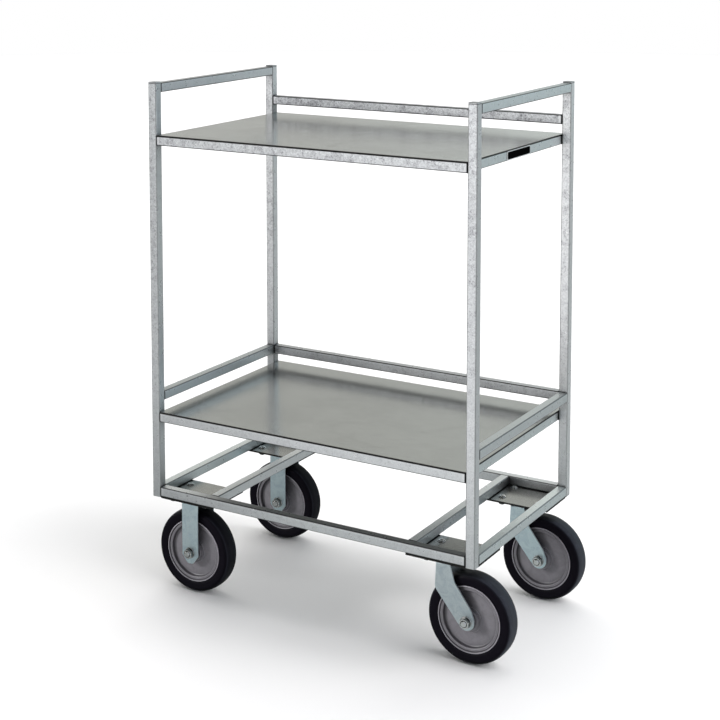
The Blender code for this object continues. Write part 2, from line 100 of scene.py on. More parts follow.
# ------------------------------------------------------------------ shader helpers
class Graph:
    """A small wrapper that adds nodes to a tree and links sockets given as inputs."""

    def __init__(self, tree):
        self.tree = tree
        tree.nodes.clear()

    def add(self, kind, inputs=None, **props):
        node = self.tree.nodes.new(kind)
        for key, value in props.items():
            setattr(node, key, value)
        for key, value in (inputs or {}).items():
            socket = node.inputs[key]
            if isinstance(value, bpy.types.NodeSocket):
                self.tree.links.new(value, socket)
            else:
                socket.default_value = value
        return node

    def math(self, op, a, b=None, c=None, clamp=False):
        node = self.add("ShaderNodeMath", operation=op, use_clamp=clamp)
        for i, v in enumerate((a, b, c)):
            if v is None:
                continue
            if isinstance(v, bpy.types.NodeSocket):
                self.tree.links.new(v, node.inputs[i])
            else:
                node.inputs[i].default_value = v
        return node.outputs[0]

    def vmath(self, op, a, b=None, out=0):
        node = self.add("ShaderNodeVectorMath", operation=op)
        for i, v in enumerate((a, b)):
            if v is None:
                continue
            if isinstance(v, bpy.types.NodeSocket):
                self.tree.links.new(v, node.inputs[i])
            else:
                node.inputs[i].default_value = v
        return node.outputs[out]

    def remap(self, value, lo, hi, to_lo=0.0, to_hi=1.0, smooth=True):
        node = self.add("ShaderNodeMapRange", {"Value": value, "From Min": lo, "From Max": hi,
                                               "To Min": to_lo, "To Max": to_hi},
                        interpolation_type="SMOOTHSTEP" if smooth else "LINEAR")
        return node.outputs[0]

    def noise(self, vector, scale, detail=3.0, rough=0.55, distortion=0.0):
        node = self.add("ShaderNodeTexNoise", {"Vector": vector, "Scale": scale, "Detail": detail,
                                               "Roughness": rough, "Distortion": distortion})
        return node.outputs[0]

    def mix(self, fac, a, b, blend="MIX"):
        node = self.add("ShaderNodeMix", data_type="RGBA", blend_type=blend)
        for socket, v in ((node.inputs[0], fac), (node.inputs[6], a), (node.inputs[7], b)):
            if isinstance(v, bpy.types.NodeSocket):
                self.tree.links.new(v, socket)
            elif hasattr(v, "__len__"):
                socket.default_value = (*v[:3], 1.0)
            else:
                socket.default_value = v
        return node.outputs[2]

    def mixf(self, fac, a, b):
        node = self.add("ShaderNodeMix", data_type="FLOAT")
        for socket, v in ((node.inputs[0], fac), (node.inputs[2], a), (node.inputs[3], b)):
            if isinstance(v, bpy.types.NodeSocket):
                self.tree.links.new(v, socket)
            else:
                socket.default_value = v
        return node.outputs[0]


def material(name, viewport):
    m = bpy.data.materials.new(name)
    m.use_nodes = True
    m.diffuse_color = (*viewport, 1.0)
    return m, Graph(m.node_tree)


def coords(g, stretch=(1.0, 1.0, 1.0)):
    """Object coordinates, moved by a different amount on each piece."""
    tex = g.add("ShaderNodeTexCoord")
    info = g.add("ShaderNodeObjectInfo")
    shift = g.vmath("SCALE", (3.1, 5.7, 4.3))
    scale_node = shift.node
    g.tree.links.new(info.outputs["Random"], scale_node.inputs["Scale"])
    moved = g.vmath("ADD", tex.outputs["Object"], shift)
    if stretch != (1.0, 1.0, 1.0):
        moved = g.vmath("MULTIPLY", moved, stretch)
    return tex, moved


def normal_parts(g, tex):
    """The absolute components of the object-space normal, and how far it is from any axis."""
    n = g.vmath("ABSOLUTE", tex.outputs["Normal"])
    sep = g.add("ShaderNodeSeparateXYZ", {"Vector": n})
    biggest = g.math("MAXIMUM", g.math("MAXIMUM", sep.outputs[0], sep.outputs[1]), sep.outputs[2])
    off_axis = g.math("SUBTRACT", 1.0, biggest)
    return sep.outputs[0], sep.outputs[1], sep.outputs[2], off_axis


def surface(g, colour, rough, metallic=0.0, bump=None, bump_strength=0.2, bump_distance=0.0003,
            specular=0.5, tint=None, coat=0.0):
    inputs = {"Base Color": colour, "Roughness": rough, "Metallic": metallic,
              "Specular IOR Level": specular}
    if tint is not None:
        inputs["Specular Tint"] = tint
    if coat:
        inputs["Coat Weight"] = coat
        inputs["Coat Roughness"] = 0.25
    if bump is not None:
        b = g.add("ShaderNodeBump", {"Height": bump, "Strength": bump_strength,
                                     "Distance": bump_distance})
        inputs["Normal"] = b.outputs[0]
    bsdf = g.add("ShaderNodeBsdfPrincipled", inputs)
    g.add("ShaderNodeOutputMaterial", {"Surface": bsdf.outputs[0]})


def galvanised(name, light=(0.80, 0.815, 0.825), dark=(0.36, 0.355, 0.385), amount=1.0,
               rough=0.32, corner=0.90, shelf_shade=1.0):
    """Hot-dip galvanised steel: cloudy patches, small blotches, faint crystals, painted dark reflection on the corners.
    A top face can also get painted shade, deeper away from its left end, as under a shelf."""
    m, g = material(name, light)
    tex, p = coords(g)
    nx, ny, nz, off = normal_parts(g, tex)
    where = g.add("ShaderNodeSeparateXYZ", {"Vector": tex.outputs["Object"]})
    height = where.outputs[2]
    level = g.remap(height, 0.30, 0.85, 0.30, 1.0)
    facing = g.math("MULTIPLY_ADD", ny, 0.78, 0.22)
    strength = g.math("MULTIPLY", g.math("MULTIPLY", level, facing), amount)

    cloud = g.remap(g.noise(p, 58.0, 5.0, 0.68, 0.6), 0.46, 0.62)
    blotch = g.remap(g.noise(p, 330.0, 4.0, 0.70, 0.7), 0.52, 0.60)
    speck = g.remap(g.noise(p, 700.0, 3.0, 0.62), 0.54, 0.62)
    crystal = g.add("ShaderNodeTexVoronoi", {"Vector": p, "Scale": 330.0}, feature="F1")
    facet = g.add("ShaderNodeSeparateColor", {"Color": crystal.outputs["Color"]}).outputs[0]

    dirt = g.math("MULTIPLY", cloud, 0.26)
    dirt = g.math("MULTIPLY_ADD", g.math("MULTIPLY", blotch, g.math("MULTIPLY_ADD", cloud, 0.75, 0.30)), 0.80, dirt)
    dirt = g.math("MULTIPLY_ADD", g.math("MULTIPLY", speck, g.math("MULTIPLY_ADD", blotch, 0.6, 0.5)), 0.42, dirt)
    dirt = g.math("MULTIPLY", dirt, strength, clamp=True)
    colour = g.mix(dirt, light, dark)
    shade = g.math("MULTIPLY_ADD", g.math("MULTIPLY", g.math("SUBTRACT", facet, 0.5), strength), 0.26, 1.0)
    colour = g.vmath("SCALE", colour)
    g.tree.links.new(shade, colour.node.inputs["Scale"])

    # painted dark reflection along the rounded corners, painted shade in the joints at the tube ends and a painted
    # highlight strip beside them
    painted_corner = g.math("MULTIPLY", g.remap(off, 0.006, 0.066), g.remap(nz, 0.15, 0.45, 0.52, 1.0))
    painted_corner = g.math("MULTIPLY", painted_corner, g.remap(height, 0.28, 0.36, 0.80, 1.0))
    # painted shade in narrow creases against neighbouring parts
    crease_shade = g.add("ShaderNodeAmbientOcclusion", {"Distance": 0.0045}, samples=4)
    crease_shade = g.remap(crease_shade.outputs["AO"], 0.45, 0.92, 1.0, 0.0)
    # painted shade in deeper hollows between parts
    hollow_shade = g.add("ShaderNodeAmbientOcclusion", {"Distance": 0.046}, samples=4)
    hollow_shade = g.remap(hollow_shade.outputs["AO"], 0.30, 0.93, 0.22, 1.0)
    # painted shade in the joints at the tube ends, stored on the mesh
    end_gap_shade = g.add("ShaderNodeAttribute", attribute_name="end_gap_shade").outputs["Fac"]
    end_highlight = g.add("ShaderNodeAttribute", attribute_name="end_highlight").outputs["Fac"]
    # painted highlight: a bright strip beside the end joints
    colour = g.mix(g.math("MULTIPLY", end_highlight, 0.45), colour, (0.95, 0.955, 0.96))
    # painted light on horizontal faces: lighter low down, darker higher up, and with shelf shade darker away from the
    # left end
    top = g.math("MULTIPLY", g.remap(height, 0.28, 0.36, 1.12, 0.88), g.remap(height, 0.45, 0.95, 1.0, 0.84))
    if shelf_shade < 1.0:
        top = g.math("MULTIPLY", top, g.remap(where.outputs[0], -0.345, -0.20, 1.0, shelf_shade))
    top = g.mixf(g.remap(nz, 0.60, 0.95), 1.0, top)
    shaded = g.vmath("SCALE", colour)
    g.tree.links.new(g.math("MULTIPLY", hollow_shade, top), shaded.node.inputs["Scale"])
    # painted dark reflection on the corners, painted shade in creases and in the end joints
    colour = g.mix(g.math("MULTIPLY", painted_corner, corner), shaded, (0.050, 0.052, 0.050))
    colour = g.mix(g.math("MULTIPLY", crease_shade, 0.92), colour, (0.020, 0.021, 0.021))
    colour = g.mix(g.math("MULTIPLY", end_gap_shade, 0.93), colour, (0.018, 0.018, 0.020))
    worn = g.remap(g.noise(p, 75.0, 3.0, 0.6), 0.56, 0.72)
    r = g.math("MULTIPLY_ADD", dirt, 0.16, rough)
    r = g.math("MULTIPLY_ADD", g.math("SUBTRACT", facet, 0.5), 0.09, r)
    r = g.math("MULTIPLY_ADD", worn, -0.05, r)
    r = g.math("MULTIPLY_ADD", end_gap_shade, 0.3, r)
    bump = g.math("ADD", g.math("MULTIPLY", g.noise(p, 420.0, 3.0, 0.6), 0.6),
                  g.math("MULTIPLY", g.noise(p, 60.0, 2.0, 0.5), 1.2))
    surface(g, colour, r, 0.93, bump, 0.12, 0.0004)
    return m


def sheet_metal(name, light=(0.535, 0.545, 0.525), dark=(0.44, 0.445, 0.43), rough=0.15, streak=1.0,
                gap_shade_reach=0.0, cut=(0.045, 0.036, 0.032), shade_across=1.0, end=1.0):
    """Galvanised sheet: warm grey, fine rolling streaks along X, blurred reflections."""
    m, g = material(name, light)
    tex, p = coords(g)
    long = g.vmath("MULTIPLY", p, (1.0, 26.0, 26.0))
    streaks = g.noise(long, 26.0, 4.0, 0.6, 0.1)
    fine = g.noise(g.vmath("MULTIPLY", p, (1.0, 12.0, 12.0)), 110.0, 3.0, 0.6)
    cloud = g.remap(g.noise(p, 9.0, 4.0, 0.6, 0.6), 0.35, 0.70)
    fac = g.math("MULTIPLY_ADD", g.remap(streaks, 0.40, 0.64), 0.45 * streak,
                 g.math("MULTIPLY", cloud, 0.35))
    fac = g.math("MULTIPLY_ADD", g.remap(fine, 0.45, 0.70), 0.22, fac, clamp=True)
    colour = g.vmath("SCALE", g.mix(fac, light, dark))
    across = g.add("ShaderNodeSeparateXYZ", {"Vector": tex.outputs["Object"]}).outputs[0]
    # painted shade: the sheet darkens towards +X, and again at its right end
    level = g.math("MULTIPLY", g.remap(across, -0.35, 0.40, 1.0, shade_across), g.remap(across, 0.340, 0.372, 1.0, end))
    g.tree.links.new(level, colour.node.inputs["Scale"])
    nx, ny, nz, off = normal_parts(g, tex)
    # upright faces go almost black: oxide on the cut faces, and painted shade of the gap beneath the sheet's rim
    cut_edge = g.remap(nz, 0.35, 0.85, 1.0, 0.0)
    # painted shade in the crevices where the plate meets the rails
    if gap_shade_reach:
        crease_shade = g.add("ShaderNodeAmbientOcclusion", {"Distance": gap_shade_reach}, samples=4)
        crease_shade = g.remap(crease_shade.outputs["AO"], 0.45, 0.92, 1.0, 0.0)
        colour = g.mix(g.math("MULTIPLY", crease_shade, 0.95), colour, (0.014, 0.013, 0.012))
    colour = g.mix(g.math("MULTIPLY", cut_edge, 0.94), colour, cut)
    r = g.math("MULTIPLY_ADD", fac, 0.09, rough)
    r = g.math("MULTIPLY_ADD", cut_edge, 0.3, r)
    surface(g, colour, r, 0.92, g.math("ADD", streaks, g.math("MULTIPLY", fine, 0.5)), 0.06, 0.0003)
    return m


def zinc(name, light=(0.69, 0.765, 0.79), dark=(0.50, 0.585, 0.635), rough=0.36, corner_highlight=0.55):
    """Blue zinc plating on pressed steel: soft cloudy passivation, painted highlight on the edges, painted shade close
    to other parts.
    """
    m, g = material(name, light)
    tex, p = coords(g)
    cloud = g.remap(g.noise(p, 48.0, 5.0, 0.65, 1.2), 0.38, 0.66)
    fleck = g.remap(g.noise(p, 300.0, 3.0, 0.6, 0.4), 0.60, 0.74)
    pale = g.remap(g.noise(g.vmath("ADD", p, (1.7, 0.4, 2.2)), 95.0, 4.0, 0.7, 0.8), 0.60, 0.76)
    colour = g.mix(g.math("MULTIPLY", cloud, 0.60), light, dark)
    colour = g.mix(g.math("MULTIPLY", fleck, 0.35), colour, (0.36, 0.43, 0.48))
    colour = g.mix(g.math("MULTIPLY", pale, 0.40), colour, tuple(min(1.0, c * 1.12) for c in light))
    salt = g.math("MULTIPLY", g.remap(g.noise(p, 420.0, 2.0, 0.6), 0.60, 0.70), g.remap(g.noise(p, 30.0, 2.0, 0.5), 0.48, 0.62))
    colour = g.mix(g.math("MULTIPLY", salt, 0.7), colour, tuple(min(1.0, c * 1.45) for c in light))
    nx, ny, nz, off = normal_parts(g, tex)
    # painted highlight along the edges
    painted_corner = g.math("MULTIPLY", g.remap(off, 0.05, 0.20), corner_highlight)
    colour = g.mix(painted_corner, colour, tuple(min(1.0, c * 1.22) for c in light))
    # painted shade close to other parts
    contact_shade = g.add("ShaderNodeAmbientOcclusion", {"Distance": 0.016}, samples=4)
    contact_shade = g.remap(contact_shade.outputs["AO"], 0.15, 0.62, 0.90, 0.0)
    colour = g.mix(contact_shade, colour, (0.012, 0.013, 0.014))
    r = g.math("MULTIPLY_ADD", cloud, 0.10, rough)
    r = g.math("MULTIPLY_ADD", fleck, 0.12, r)
    bump = g.math("ADD", g.noise(p, 500.0, 3.0, 0.6), g.math("MULTIPLY", g.noise(p, 50.0, 2.0, 0.5), 0.8))
    surface(g, colour, r, 0.88, bump, 0.08, 0.0003)
    return m


def rubber(name, tread_dust_and_light=1.0):
    """Black rubber: dark sides, bluish tread with scuffs and dust and partly painted light, painted highlight where the
    side wall meets the tread, painted shade under the frame, fine grain.
    """
    m, g = material(name, (0.02, 0.02, 0.025))
    tex, p = coords(g)
    nx, ny, nz, off = normal_parts(g, tex)
    tread = g.remap(nz, 0.30, 0.88, 1.0, 0.0)
    around = g.vmath("MULTIPLY", p, (1.0, 1.0, 7.0))
    scuff = g.remap(g.noise(p, 60.0, 5.0, 0.74, 0.8), 0.44, 0.64)
    dust = g.noise(around, 160.0, 4.0, 0.65)
    side = g.mix(g.math("MULTIPLY", g.remap(dust, 0.45, 0.75), 0.5), (0.0036, 0.0028, 0.0056), (0.0060, 0.0050, 0.0084))
    top = g.mix(scuff, (0.0215, 0.0245, 0.0360), (0.0400, 0.0438, 0.0610))
    top = g.mix(g.math("MULTIPLY", g.remap(dust, 0.55, 0.72), 0.40), top, (0.056, 0.060, 0.078))
    flat = g.vmath("MULTIPLY", tex.outputs["Object"], (1.0, 1.0, 0.0))
    radius = g.vmath("LENGTH", flat, out=1)
    # painted highlight where the side wall meets the tread
    tyre_band_highlight = g.math("MULTIPLY", g.remap(radius, 0.0862, 0.0872), g.remap(radius, 0.0880, 0.0890, 1.0, 0.0))
    side = g.mix(g.math("MULTIPLY", tyre_band_highlight, 0.55), side, (0.020, 0.021, 0.029))
    # the tread colour in the amount given per copy: dust, with painted light where the tread faces the light
    colour = g.mix(g.math("MULTIPLY", tread, tread_dust_and_light), side, top)
    shade = g.add("ShaderNodeAmbientOcclusion", {"Distance": 0.060}, samples=6)
    shade = g.remap(shade.outputs["AO"], 0.30, 0.86, 0.92, 0.0)
    colour = g.mix(shade, colour, (0.0030, 0.0028, 0.0042))
    r = g.math("MULTIPLY_ADD", scuff, 0.12, 0.50)
    spec = g.math("MULTIPLY_ADD", tread, 0.34 * tread_dust_and_light, 0.05)
    bump = g.math("ADD", g.noise(p, 1100.0, 2.0, 0.6), g.math("MULTIPLY", g.noise(p, 180.0, 3.0, 0.6), 0.7))
    surface(g, colour, r, 0.0, bump, 0.18, 0.0003, specular=spec)
    return m


def plastic(name, light=(0.178, 0.170, 0.187), dark=(0.150, 0.143, 0.158)):
    """Grey moulded nylon: slight flow marks, fine texture; painted shade in the grooves and by the fork, painted
    highlights on edges and the outer rim ring.
    """
    m, g = material(name, light)
    tex, p = coords(g)
    flow = g.noise(g.vmath("MULTIPLY", p, (1.0, 1.0, 0.3)), 42.0, 4.0, 0.6, 1.4)
    grain = g.noise(p, 1300.0, 2.0, 0.6)
    colour = g.mix(g.remap(flow, 0.36, 0.66), light, dark)
    colour = g.mix(g.math("MULTIPLY", g.remap(grain, 0.55, 0.75), 0.18), colour, (0.185, 0.176, 0.190))
    # painted shade in the grooves and by the fork
    ao = g.add("ShaderNodeAmbientOcclusion", {"Distance": 0.030}, samples=6)
    dust = g.remap(ao.outputs["AO"], 0.20, 0.98, 1.0, 0.0)
    colour = g.mix(g.math("MULTIPLY", dust, 0.75), colour, (0.030, 0.028, 0.032))
    # painted highlight on sharp convex edges
    point = g.add("ShaderNodeNewGeometry").outputs["Pointiness"]
    colour = g.mix(g.math("MULTIPLY", g.remap(point, 0.512, 0.55), 0.45), colour, (0.36, 0.34, 0.38))
    flat = g.vmath("MULTIPLY", tex.outputs["Object"], (1.0, 1.0, 0.0))
    radius = g.vmath("LENGTH", flat, out=1)
    # painted shade in the groove and on the ring walls
    groove = g.math("MULTIPLY", g.remap(radius, 0.0622, 0.0629), g.remap(radius, 0.0640, 0.0646, 1.0, 0.0))
    wall = g.math("MULTIPLY", g.remap(radius, 0.0548, 0.0558), g.remap(radius, 0.0574, 0.0580, 1.0, 0.0))
    fine = g.math("MULTIPLY", g.remap(radius, 0.0592, 0.0597), g.remap(radius, 0.0603, 0.0608, 1.0, 0.0))
    ring_shade = g.math("MAXIMUM", g.math("MAXIMUM", groove, wall), g.math("MULTIPLY", fine, 0.45))
    colour = g.mix(g.math("MULTIPLY", ring_shade, 0.66), colour, (0.030, 0.028, 0.032))
    # painted highlight on the outer rim ring
    outer_ring_highlight = g.remap(radius, 0.0652, 0.0659)
    colour = g.mix(g.math("MULTIPLY", outer_ring_highlight, 0.62), colour, (0.46, 0.44, 0.48))
    r = g.math("MULTIPLY_ADD", flow, 0.12, 0.32)
    surface(g, colour, r, 0.0, g.math("ADD", grain, flow), 0.10, 0.0002, specular=0.55)
    return m


def fastener(name, light=(0.78, 0.79, 0.77), dark=(0.46, 0.45, 0.42)):
    """Bright zinc plated hardware: turned and rolled, with painted shade in the recesses."""
    m, g = material(name, light)
    tex, p = coords(g)
    spot = g.remap(g.noise(p, 260.0, 4.0, 0.65, 0.5), 0.50, 0.70)
    lines = g.noise(g.vmath("MULTIPLY", p, (1.0, 1.0, 14.0)), 190.0, 2.0, 0.5)
    colour = g.mix(g.math("MULTIPLY", spot, 0.6), light, dark)
    # painted shade in the recesses and against neighbouring parts
    ao = g.add("ShaderNodeAmbientOcclusion", {"Distance": 0.0035}, samples=6)
    recess_shade = g.remap(ao.outputs["AO"], 0.25, 0.80, 1.0, 0.0)
    colour = g.mix(g.math("MULTIPLY", recess_shade, 0.94), colour, (0.014, 0.014, 0.014))
    r = g.math("MULTIPLY_ADD", spot, 0.08, 0.08)
    surface(g, colour, r, 0.99, g.math("ADD", lines, g.math("MULTIPLY", spot, 0.4)), 0.10, 0.0002)
    return m


def black_lacquer(name):
    m, g = material(name, (0.004, 0.004, 0.004))
    tex, p = coords(g)
    dust = g.remap(g.noise(p, 420.0, 4.0, 0.7), 0.58, 0.78)
    wipe = g.noise(g.vmath("MULTIPLY", p, (1.0, 0.2, 3.0)), 60.0, 3.0, 0.6)
    colour = g.mix(g.math("MULTIPLY", dust, 0.25), (0.0022, 0.0022, 0.0024), (0.010, 0.010, 0.011))
    r = g.math("MULTIPLY_ADD", wipe, 0.20, 0.32)
    surface(g, colour, r, 0.0, dust, 0.05, 0.0001, specular=0.0)
    return m


GALV = galvanised("galvanised_tube")
GALV_DULL = galvanised("galvanised_cap", (0.82, 0.835, 0.845), (0.42, 0.42, 0.44), 0.8, 0.38, 0.42)
# a copy with painted shade on its top face, as under the lower shelf
GALV_SHELF_SHADED = galvanised("galvanised_base_rail", shelf_shade=0.26)
# lower sheet with painted shade at its right end; the upper sheet is a slightly darker copy with painted shade towards
# +X
SHEET = sheet_metal("galvanised_sheet", end=0.60)
SHEET_UPPER = sheet_metal("galvanised_sheet_upper", (0.515, 0.522, 0.505), (0.425, 0.43, 0.415), shade_across=0.92)
# mounting plates, with painted shade in the crevices along the rails
PLATE = sheet_metal("galvanised_plate", (0.50, 0.50, 0.475), (0.38, 0.38, 0.36), 0.20, 0.5, 0.0045,
                    (0.010, 0.009, 0.009))
# darkened zinc standing in for shade: caster top plates and the insides of the forks
ZINC_SHADED = zinc("zinc_plated_plate", (0.155, 0.178, 0.19), (0.10, 0.12, 0.13), 0.42, 0.10)
# almost black race and crown finish: painted shade under the plates
SHADED_RACE = zinc("dark_race", (0.030, 0.033, 0.035), (0.018, 0.020, 0.022), 0.40, 0.15)
ZINC = zinc("zinc_plated_steel")
# a lighter copy for the back fork and the fixed-caster legs: painted light
ZINC_LIT = zinc("zinc_plated_bracket", (0.80, 0.95, 0.99), (0.60, 0.74, 0.81), 0.34, 0.55)
RUBBER = rubber("black_rubber")
# a darker-treaded copy for the left wheels: painted shade on treads under the trolley
RUBBER_SHADED = rubber("black_rubber_shaded", 0.10)
PLASTIC = plastic("grey_plastic")
BOLT = fastener("zinc_fastener", (0.95, 0.955, 0.94), (0.66, 0.655, 0.63))
SMALL_BOLT = fastener("zinc_small_bolt", (0.97, 0.97, 0.95), (0.55, 0.55, 0.53))
# darker copies for the nut and bolt flanks: painted shade
NUT_SIDE_SHADED = fastener("zinc_nut_flank", (0.24, 0.245, 0.24), (0.09, 0.09, 0.088))
BOLT_SIDE_SHADED = fastener("zinc_bolt_flank", (0.10, 0.10, 0.098), (0.05, 0.05, 0.05))
BLACK = black_lacquer("black_plate")
ALU = zinc("anodised_aluminium", (1.0, 1.0, 1.0), (0.95, 0.96, 0.97), 0.30, 0.1)
# lit and shaded copies of the tube finish, each piece lighter, darker or bluer as the light falls on it; the guard
# copies also carry heavier mottling
GALV_SHADED_GUARD = galvanised("galvanised_guard", (0.73, 0.74, 0.755), (0.30, 0.295, 0.32), 1.25, corner=0.97)
GALV_PALE = galvanised("galvanised_pale_tube", (0.93, 0.94, 0.945), (0.42, 0.415, 0.44), 1.0)
GALV_SHADED_POST = galvanised("galvanised_shaded_post", (0.742, 0.762, 0.768), (0.33, 0.33, 0.355), 1.0)
GALV_COOL = galvanised("galvanised_cool_tube", (0.855, 0.915, 0.925), (0.42, 0.44, 0.46), 1.0)
GALV_FAIR = galvanised("galvanised_fair_tube", (0.86, 0.87, 0.875), (0.38, 0.375, 0.40), 1.0)
GALV_SIDE = galvanised("galvanised_side_guard", (0.77, 0.805, 0.815), (0.35, 0.355, 0.375), 1.1, corner=0.76)
TUBES = {"post_back_right": GALV_PALE, "post_front_left": GALV_SHADED_POST, "post_back_left": GALV_FAIR,
         "base_rail_left": GALV_COOL, "upper_guard_back": GALV_SHADED_GUARD,
         "lower_guard_back": GALV_SHADED_GUARD, "lower_guard_left": GALV_SIDE, "lower_guard_right": GALV_SIDE,
         "push_handle_right": GALV_COOL, "base_rail_right": GALV_COOL}


# ------------------------------------------------------------------ mesh helpers
def finish_mesh(bm, name, sharp=32.0):
    bmesh.ops.recalc_face_normals(bm, faces=bm.faces)
    mesh = bpy.data.meshes.new(name)
    bm.to_mesh(mesh)
    bm.free()
    mesh.shade_smooth()
    mesh.set_sharp_from_angle(angle=math.radians(sharp))
    return mesh


def piece(name, mesh, mat, nodes, loc=(0, 0, 0), rot=(0, 0, 0), body=None,
          weighted=True):
    """Shows mesh as a piece that stands for the CAD nodes and rides on their body."""
    ob = bpy.data.objects.new(name, mesh)
    scene.collection.objects.link(ob)
    ob.location = loc
    ob.rotation_euler = rot
    if not mesh.materials:
        mesh.materials.append(mat)
    if weighted:
        mod = ob.modifiers.new("normals", "WEIGHTED_NORMAL")
        mod.keep_sharp = True
        mod.weight = 70
    nodes = [nodes] if isinstance(nodes, str) else list(nodes)
    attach(ob, body or BODY_OF[nodes[0]])
    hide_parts(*nodes)
    return ob


def rounded_square(half_a, half_b, radius, inset, steps=5):
    """Points of a rounded rectangle, anticlockwise."""
    pts = []
    r = max(radius - inset, 0.00005)
    for sx, sy, start in ((1, 1, 0), (-1, 1, 90), (-1, -1, 180), (1, -1, 270)):
        cx, cy = sx * (half_a - radius), sy * (half_b - radius)
        for i in range(steps + 1):
            a = math.radians(start + 90.0 * i / steps)
            pts.append((cx + r * math.cos(a), cy + r * math.sin(a)))
    return pts


def bar_mesh(name, lo, hi, axis, radius=CORNER, soft=0.0004, steps=5, end_marks=True,
             wide=None):
    """A rounded bar along one axis, its ends softened. Rings close to the ends carry how much painted shade
    of the end joint, and of the painted highlight strip beside it, is at each place."""
    lo, hi = Vector(lo), Vector(hi)
    i = "XYZ".index(axis)
    j, k = (i + 1) % 3, (i + 2) % 3
    mid = (lo + hi) / 2
    half_a, half_b = (hi[j] - lo[j]) / 2, (hi[k] - lo[k]) / 2
    length = hi[i] - lo[i]
    # distance from the end, inset of the profile, painted joint shade, painted highlight strip
    end = [(0.0, soft, 1, 0), (soft * 0.35, soft * 0.35, 1, 0), (soft, 0.0, 1, 0), (0.0017, 0.0, 1, 0),
           (0.0024, 0.0, 0, 0.3), (0.0034, 0.0, 0, 1), (0.0056, 0.0, 0, 1), (0.0085, 0.0, 0, 0)]
    if not (axis == "X" if wide is None else wide):
        end = end[:3] + [(0.0008, 0.0, 0.9, 0), (0.0013, 0.0, 0, 0), (0.0022, 0.0, 0, 0.6), (0.0050, 0.0, 0, 0)]
    stations = end + [(length - s, inset, end_gap_shade, end_highlight) for s, inset, end_gap_shade, end_highlight in reversed(end)]
    bm = bmesh.new()
    rings, marks = [], []
    for s, inset, end_gap_shade, end_highlight in stations:
        ring = []
        for a, b in rounded_square(half_a, half_b, radius, inset, steps):
            co = [0.0, 0.0, 0.0]
            co[i] = lo[i] + s
            co[j] = mid[j] + a
            co[k] = mid[k] + b
            ring.append(bm.verts.new(co))
            marks.append((end_gap_shade, end_highlight))
        rings.append(ring)
    n = len(rings[0])
    for one, two in zip(rings, rings[1:]):
        for q in range(n):
            bm.faces.new((one[q], one[(q + 1) % n], two[(q + 1) % n], two[q]))
    bm.faces.new(list(reversed(rings[0])))
    bm.faces.new(rings[-1])
    mesh = finish_mesh(bm, name, 50.0)
    # the painted joint shade and highlight strip, stored per point for the shader
    if end_marks:
        for label, column in (("end_gap_shade", 0), ("end_highlight", 1)):
            attribute = mesh.attributes.new(label, "FLOAT", "POINT")
            attribute.data.foreach_set("value", [float(mark[column]) for mark in marks])
    return mesh


def lathe_mesh(name, profile, steps=STEPS, closed=True, sharp=30.0):
    """A closed profile of (radius, height) turned about Z. A radius of 0 closes on the axis."""
    bm = bmesh.new()
    rings = []
    for r, z in profile:
        if r < 1e-7:
            rings.append([bm.verts.new((0.0, 0.0, z))])
        else:
            rings.append([bm.verts.new((r * math.cos(math.tau * i / steps),
                                        r * math.sin(math.tau * i / steps), z))
                          for i in range(steps)])
    pairs = list(zip(rings, rings[1:]))
    if closed:
        pairs.append((rings[-1], rings[0]))
    for one, two in pairs:
        if len(one) == 1 and len(two) == 1:
            continue
        for i in range(steps):
            j = (i + 1) % steps
            if len(one) == 1:
                bm.faces.new((one[0], two[j], two[i]))
            elif len(two) == 1:
                bm.faces.new((one[i], one[j], two[0]))
            else:
                bm.faces.new((one[i], one[j], two[j], two[i]))
    return finish_mesh(bm, name, sharp)


def soften(points, radius, steps=3):
    """Rounds every corner of an open (r, z) profile."""
    out = [points[0]]
    for a, b, c in zip(points, points[1:], points[2:]):
        pa, pb, pc = Vector(a), Vector(b), Vector(c)
        la, lc = (pa - pb).length, (pc - pb).length
        cut = min(radius, la * 0.45, lc * 0.45)
        start, end = pb + (pa - pb).normalized() * cut, pb + (pc - pb).normalized() * cut
        for i in range(steps + 1):
            t = i / steps
            q = start.lerp(pb, t).lerp(pb.lerp(end, t), t)
            out.append((q.x, q.y))
    out.append(points[-1])
    return out


def prism_mesh(name, points, lo, hi, axes="XY"):
    """A flat outline in two axes, extruded along the third from lo to hi."""
    j, k = "XYZ".index(axes[0]), "XYZ".index(axes[1])
    i = 3 - j - k
    bm = bmesh.new()
    ends = []
    for level in (lo, hi):
        ring = []
        for a, b in points:
            co = [0.0, 0.0, 0.0]
            co[i], co[j], co[k] = level, a, b
            ring.append(bm.verts.new(co))
        ends.append(ring)
    n = len(points)
    for q in range(n):
        bm.faces.new((ends[0][q], ends[0][(q + 1) % n], ends[1][(q + 1) % n], ends[1][q]))
    bm.faces.new(list(reversed(ends[0])))
    bm.faces.new(ends[1])
    return finish_mesh(bm, name)


def temp(mesh, loc=(0, 0, 0), rot=(0, 0, 0)):
    ob = bpy.data.objects.new("temp", mesh)
    scene.collection.objects.link(ob)
    ob.location = loc
    ob.rotation_euler = rot
    return ob


